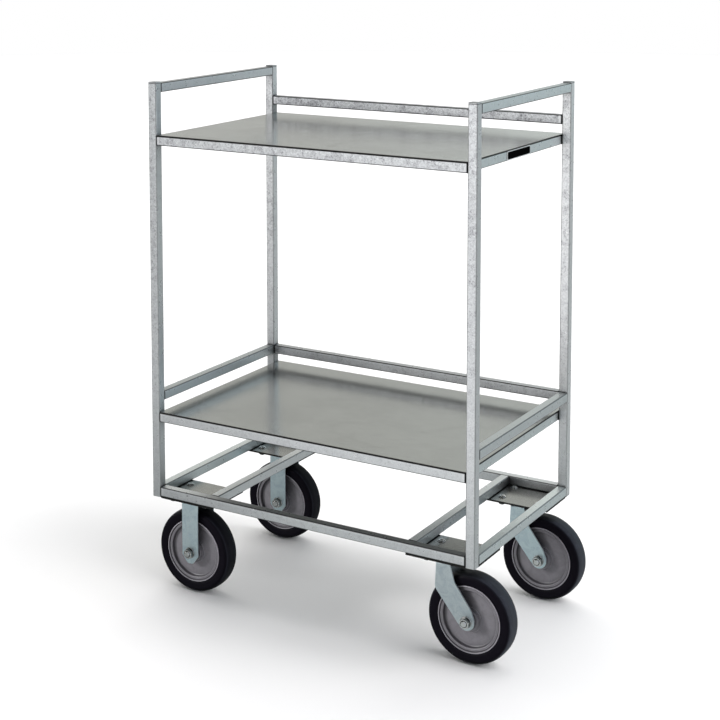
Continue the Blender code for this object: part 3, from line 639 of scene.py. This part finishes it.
def boolean(base, tools, bevel=0.0, segments=2, angle=32.0):
    """base with (operation, object) tools applied one after another, then bevelled."""
    for op, tool in tools:
        mod = base.modifiers.new("b", "BOOLEAN")
        mod.operation = op
        mod.solver = "EXACT"
        mod.object = tool
    bpy.context.view_layer.update()
    graph = bpy.context.evaluated_depsgraph_get()
    mesh = bpy.data.meshes.new_from_object(base.evaluated_get(graph))
    for _, tool in tools:
        bpy.data.objects.remove(tool, do_unlink=True)
    bpy.data.objects.remove(base, do_unlink=True)
    bm = bmesh.new()
    bm.from_mesh(mesh)
    bmesh.ops.remove_doubles(bm, verts=bm.verts, dist=0.00002)
    bmesh.ops.dissolve_limit(bm, angle_limit=math.radians(0.5), verts=bm.verts, edges=bm.edges)
    out = finish_mesh(bm, mesh.name)
    if bevel:
        ob = temp(out)
        mod = ob.modifiers.new("bevel", "BEVEL")
        mod.width = bevel
        mod.segments = segments
        mod.limit_method = "ANGLE"
        mod.angle_limit = math.radians(angle)
        mod.use_clamp_overlap = True
        bpy.context.view_layer.update()
        graph = bpy.context.evaluated_depsgraph_get()
        out = bpy.data.meshes.new_from_object(ob.evaluated_get(graph))
        bpy.data.objects.remove(ob, do_unlink=True)
        out.shade_smooth()
        out.set_sharp_from_angle(angle=math.radians(32))
    out.materials.clear()
    return out


def arc(cx, cy, radius, start, end, count):
    return [(cx + radius * math.cos(math.radians(start + (end - start) * i / (count - 1))),
             cy + radius * math.sin(math.radians(start + (end - start) * i / (count - 1))))
            for i in range(count)]


# ------------------------------------------------------------------ posts and rails
for side in ("front_left", "front_right", "back_left", "back_right"):
    node = "post_" + side
    lo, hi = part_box(node)
    piece("post_tube_" + side, bar_mesh(node, lo, hi, "Z", soft=0.0007, end_marks=False), TUBES.get(node, GALV), node)
    node = "post_cap_" + side
    clo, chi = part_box(node)
    # a pressed cap: square with rounded corners, its top slightly domed
    top = chi.z
    base = hi.z + 0.0003
    bm = bmesh.new()
    rings = []
    mid = (clo + chi) / 2
    half = (chi.x - clo.x) / 2
    tall = top - base
    for z, inset in ((base, 0.0004), (base + 0.0003, 0.0), (top - 0.0013, 0.0), (top - 0.0008, 0.00025),
                     (top - 0.0004, 0.0008), (top - 0.00018, 0.0018), (top - 0.00006, 0.0040), (top, 0.0075)):
        if inset <= 0.0018:
            loop = rounded_square(half, half, 0.0022, inset)
        else:
            loop = rounded_square(half - inset + 0.0003, half - inset + 0.0003, 0.0012, 0.0)
        rings.append([bm.verts.new((mid.x + a, mid.y + b, z)) for a, b in loop])
    n = len(rings[0])
    for one, two in zip(rings, rings[1:]):
        for q in range(n):
            bm.faces.new((one[q], one[(q + 1) % n], two[(q + 1) % n], two[q]))
    bm.faces.new(list(reversed(rings[0])))
    bm.faces.new(rings[-1])
    piece("post_cap_top_" + side, finish_mesh(bm, node, 40.0), GALV_DULL, node)

for node, axis in (("push_handle_left", "Y"), ("push_handle_right", "Y"), ("upper_guard_back", "X"),
                   ("lower_guard_back", "X"), ("lower_guard_left", "Y"), ("lower_guard_right", "Y"),
                   ("base_rail_left", "Y"), ("base_rail_right", "Y")):
    lo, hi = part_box(node)
    piece(node + "_tube", bar_mesh(node, lo, hi, axis), TUBES.get(node, GALV), node)

for node in ("upper_shelf_frame", "lower_shelf_frame", "base_frame"):
    lo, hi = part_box(node)
    for part, y in (("front", lo.y), ("back", hi.y - TUBE)):
        # the base frame's front rail gets painted shade on its top face under the lower shelf
        piece("%s_%s_rail" % (node, part),
              bar_mesh(node, (lo.x, y, lo.z), (hi.x, y + TUBE, hi.z), "X"),
              GALV_SHELF_SHADED if (node, part) == ("base_frame", "front") else GALV, node)
    if node == "base_frame":
        places = (("left_cross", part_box("post_front_left")[0].x + 0.138),
                  ("right_cross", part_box("post_front_left")[0].x + 0.611))
    else:
        places = (("left", lo.x), ("right", hi.x - TUBE))
    for part, x in places:
        # the right end rails use the lighter, bluer copy: painted light
        piece("%s_%s_rail" % (node, part),
              bar_mesh(node, (x, lo.y + TUBE + 0.0002, lo.z + 0.0001),
                       (x + TUBE, hi.y - TUBE - 0.0002, hi.z - 0.0001), "Y", wide=node != "base_frame"),
              GALV_COOL if part == "right" else GALV, node)

# ------------------------------------------------------------------ shelf sheets
for node in ("upper_shelf_sheet", "lower_shelf_sheet"):
    lo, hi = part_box(node)
    bm = bmesh.new()
    rings = []
    mid = (lo + hi) / 2
    hx, hy = (hi.x - lo.x) / 2, (hi.y - lo.y) / 2
    for z, inset in ((lo.z, 0.0003), (lo.z + 0.0003, 0.0), (hi.z - 0.0004, 0.0), (hi.z - 0.00012, 0.00014),
                     (hi.z, 0.0005), (hi.z, 0.004)):
        rings.append([bm.verts.new((mid.x + a, mid.y + b, z))
                      for a, b in rounded_square(hx - inset, hy - inset, 0.0012, 0.0, 2)])
    n = len(rings[0])
    for one, two in zip(rings, rings[1:]):
        for q in range(n):
            bm.faces.new((one[q], one[(q + 1) % n], two[(q + 1) % n], two[q]))
    bm.faces.new(list(reversed(rings[0])))
    bm.faces.new(rings[-1])
    piece(node + "_plate", finish_mesh(bm, node, 50.0), SHEET if node.startswith("lower") else SHEET_UPPER, node)

# ------------------------------------------------------------------ blank name plate
lo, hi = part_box("name_plate")
mid = (lo + hi) / 2


def flat_plate(name, x0, x1, half_y, half_z, radius, soft):
    bm = bmesh.new()
    rings = []
    for x, inset in ((x0, 0.0), (x1 - soft, 0.0), (x1 - soft * 0.3, soft * 0.3), (x1, soft)):
        rings.append([bm.verts.new((x, mid.y + a, mid.z + b))
                      for a, b in rounded_square(half_y - inset, half_z - inset, radius, 0.0, 6)])
    n = len(rings[0])
    for one, two in zip(rings, rings[1:]):
        for q in range(n):
            bm.faces.new((one[q], one[(q + 1) % n], two[(q + 1) % n], two[q]))
    bm.faces.new(list(reversed(rings[0])))
    bm.faces.new(rings[-1])
    return finish_mesh(bm, name, 50.0)


half_y, half_z = (hi.y - lo.y) / 2, (hi.z - lo.z) / 2
mid.y -= 0.0024
piece("name_plate_backing", flat_plate("backing", lo.x, lo.x + 0.0006, half_y + 0.0072, half_z + 0.0022, 0.0042, 0.0002),
      ALU, "name_plate")
piece("name_plate_face", flat_plate("face", lo.x + 0.0006, hi.x, half_y + 0.0036, half_z + 0.0003, 0.0030, 0.00035),
      BLACK, "name_plate")

# ------------------------------------------------------------------ mounting plates
BOLTS = {}
for node in sorted(frame["nodes"]):
    if node.startswith("caster_bolt_"):
        blo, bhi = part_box(node)
        BOLTS.setdefault(node[len("caster_bolt_"):-2], []).append(((blo + bhi) / 2, blo, bhi, node))

for side in ("front_left", "front_right", "back_left", "back_right"):
    node = "mounting_plate_" + side
    lo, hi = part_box(node)
    plo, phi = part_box("post_" + side)
    left, front = side.endswith("left"), side.startswith("front")
    nx = phi.x + 0.0005 if left else plo.x - 0.0005
    ny = phi.y + 0.0005 if front else plo.y - 0.0005
    x_out, x_in = (lo.x, hi.x) if left else (hi.x, lo.x)
    y_out, y_in = (lo.y, hi.y) if front else (hi.y, lo.y)
    pts = [(x_in, y_out), (nx, y_out), (nx, ny), (x_out, ny), (x_out, y_in), (x_in, y_in)]
    area = sum(a[0] * b[1] - b[0] * a[1] for a, b in zip(pts, pts[1:] + pts[:1]))
    if area < 0:
        pts.reverse()
    base = temp(prism_mesh(node, pts, lo.z, hi.z))
    holes = [("DIFFERENCE", temp(lathe_mesh("hole", [(0, -0.02), (0.0045, -0.02), (0.0045, 0.02), (0, 0.02)], 24, False),
                                 (c.x, c.y, lo.z))) for c, _, _, _ in BOLTS[side]]
    piece("caster_mounting_plate_" + side, boolean(base, holes, 0.0005, 2), PLATE, node)

# ------------------------------------------------------------------ fasteners
def hexagon(across_flats, turn=0.0):
    r = across_flats / 2 / math.cos(math.radians(30))
    return [(r * math.cos(math.radians(turn + 60 * i)), r * math.sin(math.radians(turn + 60 * i))) for i in range(6)]


def hex_body(name, across, z0, z1, top=True, bottom=False, bore=0.0):
    """A hexagon with its corners chamfered by a cone, as on a forged head or nut."""
    base = temp(prism_mesh(name, hexagon(across), z0, z1))
    r = across / 2
    c = across * 0.085
    prof = [(0, z0), (r * (0.95 if bottom else 1.30), z0)]
    if bottom:
        prof.append((r * 1.30, z0 + c * 1.6))
    if top:
        prof += [(r * 1.30, z1 - c * 1.6), (r * 0.95, z1)]
    else:
        prof.append((r * 1.30, z1))
    prof.append((0, z1))
    tools = [("INTERSECT", temp(lathe_mesh("cone", prof, 48, False)))]
    if bore:
        tools.append(("DIFFERENCE", temp(lathe_mesh("bore", [(0, z0 - 0.01), (bore, z0 - 0.01), (bore, z1 + 0.01), (0, z1 + 0.01)], 32, False))))
    return boolean(base, tools)


def joined(name, meshes):
    """One mesh from several closed ones, each kept as its own solid."""
    bm = bmesh.new()
    for mesh in meshes:
        bm.from_mesh(mesh)
    out = bpy.data.meshes.new(name)
    bm.to_mesh(out)
    bm.free()
    out.shade_smooth()
    out.set_sharp_from_angle(angle=math.radians(30))
    return out


def flanks(mesh, face_finish, shaded_finish, inner, outer):
    """The wrenching flats between the two radii get the darker finish: painted shade on the flanks."""
    mesh.materials.append(face_finish)
    mesh.materials.append(shaded_finish)
    for face in mesh.polygons:
        c, n = face.center, face.normal
        if abs(n.z) < 0.6 and inner < math.hypot(c.x, c.y) < outer:
            face.material_index = 1


def threaded(radius, z0, z1, pitch=0.00125, depth=0.00045):
    """A shank whose thread is drawn as rings, chamfered at both ends."""
    prof = [(0, z0), (radius - 0.0010, z0), (radius - depth, z0 + 0.0006)]
    z = z0 + 0.0006
    while z + pitch < z1 - 0.0006:
        prof += [(radius, z + pitch * 0.45), (radius, z + pitch * 0.60), (radius - depth, z + pitch)]
        z += pitch
    prof += [(radius - depth, z1 - 0.0006), (radius - 0.0010, z1), (0, z1)]
    return prof


bz0 = BOLTS["front_left"][0][1].z
bz1 = BOLTS["front_left"][0][2].z
plate_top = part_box("mounting_plate_front_left")[1].z
caster_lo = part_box("swivel_plate_front_right")
caster_plate_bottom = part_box("mounting_plate_front_left")[0].z - 0.0003 - 0.004
washer = soften([(0.0045, 0.0), (0.0082, 0.0), (0.0082, 0.0012), (0.0045, 0.0012)], 0.0003, 2)
head = hex_body("head", 0.0118, plate_top + 0.0014, bz1 - 0.0024, True, False, 0.0034)
nut = hex_body("nut", 0.0130, caster_plate_bottom - 0.0068, caster_plate_bottom - 0.0004, True, True, 0.0040)
washer_top = lathe_mesh("washer", [(r, z + plate_top + 0.0002) for r, z in
                                   [(0.0044, 0.0), (0.0080, 0.0), (0.0083, 0.0003), (0.0083, 0.0009), (0.0080, 0.0012), (0.0044, 0.0012)]], 32)
shank = lathe_mesh("shank", threaded(0.0039, bz0, plate_top + 0.0016), 28, False)
CASTER_BOLT = joined("caster_bolt", [head, nut, washer_top, shank])
flanks(CASTER_BOLT, SMALL_BOLT, BOLT_SIDE_SHADED, 0.0050, 0.0068)
for side, items in BOLTS.items():
    for i, (c, _, _, node) in enumerate(items):
        turn = math.radians(30.0 + (7.0, -6.0, 3.0, -9.0)[i % 4])
        piece("bolt_%s_%d" % (side, i + 1), CASTER_BOLT, None, node, loc=(c.x, c.y, 0.0), rot=(0, 0, turn), weighted=False)

# ------------------------------------------------------------------ wheels
WHEEL_R = (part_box("tyre_front_left")[1].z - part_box("tyre_front_left")[0].z) / 2
TYRE_HALF = (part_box("tyre_front_left")[1].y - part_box("tyre_front_left")[0].y) / 2

tyre_side = soften([(0.0670, 0.0150), (0.0672, 0.0186), (0.0700, 0.0199), (0.0795, TYRE_HALF), (0.0836, TYRE_HALF - 0.0002),
                    (0.0872, 0.0178), (0.0889, 0.0140), (WHEEL_R - 0.0001, 0.0075), (WHEEL_R, 0.0)], 0.0016, 4)
tyre_profile = tyre_side + [(r, -z) for r, z in reversed(tyre_side[:-1])]
TYRE = lathe_mesh("tyre", tyre_profile, STEPS, True, 40.0)
TYRE_SHADED = TYRE.copy()
TYRE.materials.append(RUBBER)
TYRE_SHADED.materials.append(RUBBER_SHADED)

rim_side = soften([(0.0064, 0.0268), (0.0128, 0.0270), (0.0138, 0.0262), (0.0142, 0.0225),       # hub end
                   (0.0198, 0.0215), (0.0212, 0.0200), (0.0220, 0.0150),                           # boss
                   (0.0238, 0.0146), (0.0252, 0.0150), (0.0268, 0.0126),                           # ring round the boss
                   (0.0400, 0.0104), (0.0546, 0.0094), (0.0562, 0.0104),                           # dished disc
                   (0.0572, 0.0158), (0.0584, 0.0166), (0.0598, 0.0167), (0.0601, 0.0161), (0.0604, 0.0167),  # band
                   (0.0628, 0.0166), (0.0636, 0.0156), (0.0643, 0.0182),                           # groove
                   (0.0650, 0.0192), (0.0664, 0.0192), (0.0670, 0.0180),
                   (0.0669, 0.0)], 0.0006, 3)
rim_profile = rim_side + [(r, -z) for r, z in reversed(rim_side[:-1])]
RIM = lathe_mesh("rim", rim_profile, STEPS, True, 34.0)
RIM.materials.append(PLASTIC)

alo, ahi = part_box("axle_bolt_front_left")
tlo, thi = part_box("tyre_front_left")
axle_front = (tlo.y + thi.y) / 2 - alo.y      # reach of the nut end towards the front
axle_back = ahi.y - (tlo.y + thi.y) / 2
leg_out = 0.0276 + 0.003 + 0.0003
# axle: nut and bolt end towards -Y, head towards +Y (local +Z is world -Y)
axle_nut = hex_body("nut", 0.0190, leg_out + 0.0020, leg_out + 0.0098, True, True, 0.0072)
axle_head = hex_body("head", 0.0190, -leg_out - 0.0094, -leg_out - 0.0020, False, True)
axle_washers = [lathe_mesh("w", [(0.0062, z0), (0.0116, z0), (0.0119, z0 + 0.0004), (0.0119, z0 + 0.0013),
                                 (0.0116, z0 + 0.0017), (0.0062, z0 + 0.0017)], 48)
                for z0 in (leg_out + 0.0001, -leg_out - 0.0018)]
axle_shank = lathe_mesh("axle", soften([(0, -leg_out - 0.0022), (0.0058, -leg_out - 0.0022), (0.0058, leg_out - 0.001)], 0.0002, 1)
                        + [(r, z) for r, z in threaded(0.0058, leg_out - 0.0005, leg_out + 0.0122, 0.0016, 0.0005)[2:]], 36, False)
AXLE = joined("axle", [axle_nut, axle_head, axle_shank] + axle_washers)
flanks(AXLE, BOLT, NUT_SIDE_SHADED, 0.0085, 0.0105)

for i, side in enumerate(("front_left", "front_right", "back_left", "back_right")):
    lo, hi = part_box("tyre_" + side)
    mid = (lo + hi) / 2
    turn = (math.radians(90), 0, 0)
    # left tyres get the darker copy: painted shade on treads under the trolley
    piece("tyre_tread_" + side, TYRE_SHADED if side.endswith("left") else TYRE, None, "tyre_" + side, loc=mid, rot=turn)
    piece("wheel_centre_" + side, RIM, None, "rim_" + side, loc=mid, rot=turn)
    twist = Matrix.Rotation(math.radians(90), 3, "X") @ Matrix.Rotation(math.radians(30 + (4, -7, 9, 2)[i]), 3, "Z")
    piece("axle_bolt_set_" + side, AXLE, None, "axle_bolt_" + side, loc=mid, rot=twist.to_euler(), weighted=False)

# ------------------------------------------------------------------ caster brackets and forks
def u_profile(inner, thick, z_low, z_top, bend):
    """An inverted U in (y, z): two legs and a web with bent corners, one gauge thick."""
    out = inner + thick
    outer = [(-out, z_low)] + arc(-out + bend, z_top - bend, bend, 180, 90, 7) + \
        arc(out - bend, z_top - bend, bend, 90, 0, 7) + [(out, z_low)]
    b2 = bend - thick
    inside = [(inner, z_low)] + arc(out - bend, z_top - bend, b2, 0, 90, 7) + \
        arc(-out + bend, z_top - bend, b2, 90, 180, 7) + [(-inner, z_low)]
    return outer + inside


def shade_inside(mesh):
    """The inner faces of a fork and the underside of its web get the darkened finish: painted shade."""
    if not mesh.materials:
        mesh.materials.append(ZINC_LIT)
        mesh.materials.append(ZINC_SHADED)
    slot = len(mesh.materials) - 1
    for face in mesh.polygons:
        c, n = face.center, face.normal
        if abs(c.y) < 0.0279 and (n.y * c.y < -0.3 * abs(c.y) or n.z < -0.5):
            face.material_index = slot


def shape_area(pts):
    return sum(a[0] * b[1] - b[0] * a[1] for a, b in zip(pts, pts[1:] + pts[:1])) / 2


def ccw(pts):
    return pts if shape_area(pts) > 0 else list(reversed(pts))


def top_plate(name, lo, hi, z0, z1, centre, bolts, extra=()):
    pts = rounded_square((hi.x - lo.x) / 2, (hi.y - lo.y) / 2, 0.007, 0.0, 5)
    pts = [((lo.x + hi.x) / 2 + a - centre.x, (lo.y + hi.y) / 2 + b - centre.y) for a, b in pts]
    base = temp(prism_mesh(name, ccw(pts), z0, z1))
    tools = [("DIFFERENCE", temp(lathe_mesh("hole", [(0, -0.02), (0.0045, -0.02), (0.0045, 0.02), (0, 0.02)], 24, False),
                                 (c.x - centre.x, c.y - centre.y, z0))) for c, _, _, _ in bolts]
    return boolean(base, tools + list(extra), 0.0006, 2)


H = 0.041 / 2
for side in ("front", "back"):
    # ---- fixed caster
    node = "caster_bracket_%s_left" % side
    lo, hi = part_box(node)
    tlo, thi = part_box("tyre_%s_left" % side)
    axle = (tlo + thi) / 2
    z_plate = hi.z - 0.004
    centre = Vector((axle.x, axle.y, 0))
    mesh = top_plate(node, lo, hi, z_plate, hi.z, centre, BOLTS[side + "_left"])
    # the top plate is darkened: painted shade under the mounting plate
    piece("caster_top_plate_%s_left" % side, mesh, ZINC_SHADED, node, loc=centre)
    web = prism_mesh("u", ccw(u_profile(0.0276, 0.003, axle.z - 0.05, z_plate - 0.0001, 0.0075)), -0.06, 0.06, "YZ")
    slope = [(H, -0.0045), (H - 0.0004, -0.0062), (H - 0.0014, -0.0078), (0.0088, -0.0213), (0.0070, -0.0231), (0.0045, -0.0239)]
    out = [(-H, 0.125)] + [(-x, z) for x, z in slope] + slope[::-1] + [(H, 0.125)]
    cut = temp(prism_mesh("o", ccw([(x, z + axle.z) for x, z in out]), -0.06, 0.06, "XZ"))
    bore = temp(lathe_mesh("bore", [(0, -0.06), (0.0061, -0.06), (0.0061, 0.06), (0, 0.06)], 32, False),
                (0, 0, axle.z), (math.radians(90), 0, 0))
    mesh = boolean(temp(web), [("INTERSECT", cut), ("DIFFERENCE", bore)], 0.0007, 3)
    shade_inside(mesh)
    piece("caster_legs_%s_left" % side, mesh, None, node, loc=centre)

    # ---- swivel caster, top plate with its race and the kingpin
    node = "swivel_plate_%s_right" % side
    lo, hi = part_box(node)
    centre = Vector(((lo.x + hi.x) / 2, (lo.y + hi.y) / 2, 0))
    z_plate = hi.z - 0.004
    mesh = top_plate(node, lo, hi, z_plate, hi.z, centre, BOLTS[side + "_right"])
    # the top plate is darkened: painted shade under the mounting plate
    piece("caster_top_plate_%s_right" % side, mesh, ZINC_SHADED, node, loc=centre)
    race = lathe_mesh("race", [(0.0240, z_plate - 0.0002), (0.0385, z_plate - 0.0002), (0.0390, z_plate - 0.0008),
                               (0.0376, z_plate - 0.0018), (0.0366, z_plate - 0.0030), (0.0361, z_plate - 0.0044),
                               (0.0350, z_plate - 0.0052), (0.0318, z_plate - 0.0052), (0.0312, z_plate - 0.0038),
                               (0.0240, z_plate - 0.0032)], 72)
    # the race is almost black: painted shade
    piece("swivel_race_%s_right" % side, race, SHADED_RACE, node, loc=centre)
    flo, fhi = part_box("swivel_fork_%s_right" % side)
    crown_top = z_plate - 0.0065
    pin_low = lo.z
    pin = lathe_mesh("pin", [(0, z_plate - 0.0003), (0.0070, z_plate - 0.0003), (0.0070, crown_top - 0.0038),
                             (0.0105, crown_top - 0.0038), (0.0110, crown_top - 0.0046), (0.0104, crown_top - 0.0068),
                             (0.0072, crown_top - 0.0080), (0, crown_top - 0.0082)], 40, False)
    piece("kingpin_%s_right" % side, pin, BOLT, node, loc=centre)

    # ---- swivel fork: pressed U with swept legs, crown and lower race
    node = "swivel_fork_%s_right" % side
    tlo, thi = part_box("tyre_%s_right" % side)
    axle = (tlo + thi) / 2
    dx = axle.x - centre.x
    web = prism_mesh("u", ccw(u_profile(0.0276, 0.003, axle.z - 0.05, crown_top, 0.0048)), -0.06, 0.09, "YZ")
    out = [(-0.0655, 0.1200), (-0.0657, 0.0960), (-0.0675, 0.0615), (-0.0672, 0.0580), (-0.0662, 0.0546), (-0.0640, 0.0512),
           (-0.0185, -0.0048)]
    out += arc(0, 0, 0.0170, 205, 350, 14)
    out += [(0.0171, 0.0045), (0.0165, 0.0085), (0.0100, 0.0250), (-0.0236, 0.0712), (-0.0256, 0.0755), (-0.0272, 0.0800), (-0.0342, 0.1010), (-0.0345, 0.1200)]
    cut = temp(prism_mesh("o", ccw([(x + dx, z + axle.z) for x, z in out]), -0.06, 0.06, "XZ"))
    bore = temp(lathe_mesh("bore", [(0, -0.06), (0.0061, -0.06), (0.0061, 0.06), (0, 0.06)], 32, False),
                (dx, 0, axle.z), (math.radians(90), 0, 0))
    crown = temp(lathe_mesh("crown", soften([(0, crown_top - 0.0035), (0.0330, crown_top - 0.0035), (0.0330, crown_top), (0.0306, crown_top)], 0.0010, 2)
                            + [(0.0300, z_plate - 0.0052), (0.0292, z_plate - 0.0046), (0.0230, z_plate - 0.0046),
                               (0.0220, crown_top), (0, crown_top)], 64, False))
    pin_bore = temp(lathe_mesh("pin_bore", [(0, 0.1), (0.0074, 0.1), (0.0074, 0.3), (0, 0.3)], 32, False))
    mesh = boolean(temp(web), [("INTERSECT", cut), ("UNION", crown), ("DIFFERENCE", pin_bore), ("DIFFERENCE", bore)], 0.0006, 2)
    mesh.materials.append(ZINC_LIT if side == "back" else ZINC)
    mesh.materials.append(SHADED_RACE)
    # the crown top gets the almost black finish: painted shade under the plate
    for face in mesh.polygons:
        c = face.center
        leg_bend = abs(c.y) > 0.0250 and -0.0240 < c.x < 0.0090
        if c.z > crown_top - 0.0037 and not leg_bend:
            face.material_index = 1
    mesh.materials.append(ZINC_SHADED)
    shade_inside(mesh)
    piece("caster_fork_shell_%s_right" % side, mesh, None, node, loc=centre)

# ------------------------------------------------------------------ floor, lights, camera
bm = bmesh.new()
bmesh.ops.create_circle(bm, cap_ends=True, segments=128, radius=14.0)
floor_mesh = bpy.data.meshes.new("floor")
bm.to_mesh(floor_mesh)
bm.free()
floor = bpy.data.objects.new("floor", floor_mesh)
scene.collection.objects.link(floor)
floor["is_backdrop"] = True

m, g = material("floor_paint", (0.9, 0.9, 0.9))
path = g.add("ShaderNodeLightPath")
tex = g.add("ShaderNodeTexCoord")
soft = g.noise(tex.outputs["Object"], 2.5, 2.0, 0.5)
tone = g.remap(soft, 0.3, 0.7, 0.90, 0.915, smooth=False)
paint = g.add("ShaderNodeBsdfDiffuse", {"Color": g.add("ShaderNodeCombineColor", {"Red": tone, "Green": tone, "Blue": tone}).outputs[0]})
# seen only in reflections: the floor glows, brighter towards the front left, with painted shadow under and behind the
# trolley
spot = g.add("ShaderNodeSeparateXYZ", {"Vector": tex.outputs["Object"]})
ahead = g.math("MULTIPLY", spot.outputs[1], -1.0)
seen = g.remap(ahead, 0.45, 1.50, 0.36, 0.90)
slant = g.math("DIVIDE", g.math("MULTIPLY", spot.outputs[0], -1.0), g.math("MAXIMUM", ahead, 0.3))
seen = g.math("MULTIPLY", seen, g.remap(slant, 0.30, 0.90, 1.0, 0.56))
cool = g.vmath("SCALE", g.mix(g.remap(ahead, 0.45, 1.50), (0.925, 1.0, 1.0), (0.990, 0.998, 1.01)))
g.tree.links.new(seen, cool.node.inputs["Scale"])
# painted reflection: a glow that only glossy rays see
reflection_glow = g.add("ShaderNodeEmission", {"Color": cool, "Strength": 1.0})
mixed = g.add("ShaderNodeMixShader", {"Fac": g.math("MULTIPLY", path.outputs["Is Glossy Ray"], 0.95)})
g.tree.links.new(paint.outputs[0], mixed.inputs[1])
g.tree.links.new(reflection_glow.outputs[0], mixed.inputs[2])
g.add("ShaderNodeOutputMaterial", {"Surface": mixed.outputs[0]})
floor_mesh.materials.append(m)

world = bpy.data.worlds.new("studio")
scene.world = world
world.use_nodes = True
g = Graph(world.node_tree)
tex = g.add("ShaderNodeTexCoord")
ray = g.vmath("NORMALIZE", tex.outputs["Generated"])


def lobe(direction, inner, outer, colour):
    """A soft panel of light seen in one direction, in degrees from its middle."""
    d = Vector(direction).normalized()
    dot = g.vmath("DOT_PRODUCT", ray, tuple(d), out=1)
    amount = g.remap(dot, math.cos(math.radians(outer)), math.cos(math.radians(inner)))
    scaled = g.vmath("SCALE", tuple(colour))
    g.tree.links.new(amount, scaled.node.inputs["Scale"])
    return scaled


high = g.add("ShaderNodeSeparateXYZ", {"Vector": ray}).outputs[2]
base = g.vmath("SCALE", (0.100, 0.106, 0.110))
g.tree.links.new(g.remap(high, 0.28, 0.60, 1.0, 0.25), base.node.inputs["Scale"])
key = g.vmath("SCALE", lobe((-0.12, -0.993, 0.02), 4, 46, (1.83, 1.84, 1.85)))
sideways = g.add("ShaderNodeSeparateXYZ", {"Vector": ray}).outputs[0]
low_front = g.math("MULTIPLY", g.remap(sideways, -0.32, -0.04, 1.0, 0.50), g.remap(high, 0.12, 0.32, 1.0, 0.25))
g.tree.links.new(low_front, key.node.inputs["Scale"])
total = g.vmath("ADD", base, key)
total = g.vmath("ADD", total, lobe((0.0, 0.0, 1.0), 12, 44, (0.46, 0.47, 0.48)))
total = g.vmath("ADD", total, lobe((0.20, 0.98, 0.02), 8, 46, (0.40, 0.500, 0.520)))
total = g.vmath("ADD", total, lobe((-0.518, 0.855, 0.20), 22, 60, (0.50, 0.500, 0.470)))
total = g.vmath("ADD", total, lobe((0.85, 0.10, 0.55), 20, 60, (0.40, 0.44, 0.52)))
# small bright windows that only polished hardware is smooth enough to show
total = g.vmath("ADD", total, lobe((-0.93, 0.25, 0.27), 3, 7, (9.0, 9.0, 9.0)))
total = g.vmath("ADD", total, lobe((0.95, 0.28, 0.12), 3, 7, (9.0, 9.0, 9.0)))
total = g.vmath("ADD", total, lobe((0.55, -0.62, 0.56), 2, 6, (8.0, 8.0, 8.0)))
path = g.add("ShaderNodeLightPath")
studio = g.add("ShaderNodeBackground", {"Color": total, "Strength": 1.0})
white = g.add("ShaderNodeBackground", {"Color": (1.0, 1.0, 1.0, 1.0), "Strength": 1.0})
mixed = g.add("ShaderNodeMixShader", {"Fac": path.outputs["Is Camera Ray"]})
g.tree.links.new(studio.outputs[0], mixed.inputs[1])
g.tree.links.new(white.outputs[0], mixed.inputs[2])
g.add("ShaderNodeOutputWorld", {"Surface": mixed.outputs[0]})


def soft_sun(name, azimuth, elevation, spread, energy, colour, receivers):
    """A wide soft light far away that lights only the receivers; angles in degrees."""
    light = bpy.data.lights.new(name, "SUN")
    light.energy = energy
    light.angle = math.radians(spread)
    light.color = colour
    ob = bpy.data.objects.new(name, light)
    scene.collection.objects.link(ob)
    a, e = math.radians(azimuth), math.radians(elevation)
    towards = Vector((math.cos(e) * math.cos(a), math.cos(e) * math.sin(a), math.sin(e)))
    ob.rotation_euler = towards.to_track_quat("Z", "Y").to_euler()
    group = bpy.data.collections.new(name + "_receivers")
    for item in receivers:
        group.objects.link(item)
    ob.light_linking.receiver_collection = group
    return ob


soft_sun("floor_light_right", 5, 40, 56, 2.17, (1.0, 0.975, 0.955), [floor])
soft_sun("floor_light_back", 138, 50, 84, 1.98, (1.0, 0.975, 0.955), [floor])
wheels = [ob for ob in scene.objects if ob.name.startswith(("tyre_tread_", "wheel_centre_"))]
soft_sun("wheel_light", -134, 24, 16, 2.2, (1.0, 1.0, 1.0), wheels)

# camera: fitted to the photograph's straight edges; its lens is shifted, as in a cropped view
YAW, PITCH, ROLL = math.radians(31.204), math.radians(5.303), math.radians(-0.101)
look = Vector((-math.sin(YAW) * math.cos(PITCH), math.cos(YAW) * math.cos(PITCH), -math.sin(PITCH)))
right = Vector((math.cos(YAW), math.sin(YAW), 0))
up = right.cross(look)
r2 = math.cos(ROLL) * right + math.sin(ROLL) * up
u2 = -math.sin(ROLL) * right + math.cos(ROLL) * up
HOME = Vector((1.63347, -2.86146, 1.44028))
cam = bpy.data.cameras.new("camera")
cam_ob = bpy.data.objects.new("camera", cam)
scene.collection.objects.link(cam_ob)
cam_ob.matrix_world = Matrix(((r2.x, u2.x, -look.x, HOME.x), (r2.y, u2.y, -look.y, HOME.y),
                              (r2.z, u2.z, -look.z, HOME.z), (0, 0, 0, 1)))
cam.sensor_width = 36
cam.lens = 79.233
scene.camera = cam_ob


def home_only(prop, value):
    """The lens is shifted only while the camera stands at its own place."""
    curve = cam.driver_add(prop)
    var = curve.driver.variables.new()
    var.name = "x"
    var.type = "TRANSFORMS"
    var.targets[0].id = cam_ob
    var.targets[0].transform_type = "LOC_X"
    var.targets[0].transform_space = "WORLD_SPACE"
    curve.driver.expression = "%.6f if abs(x - %.5f) < 0.002 else 0.0" % (value, HOME.x)


home_only("shift_x", 0.04228)
home_only("shift_y", -0.40587)

scene.view_settings.view_transform = "Standard"
scene.view_settings.look = "None"

lo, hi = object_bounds()
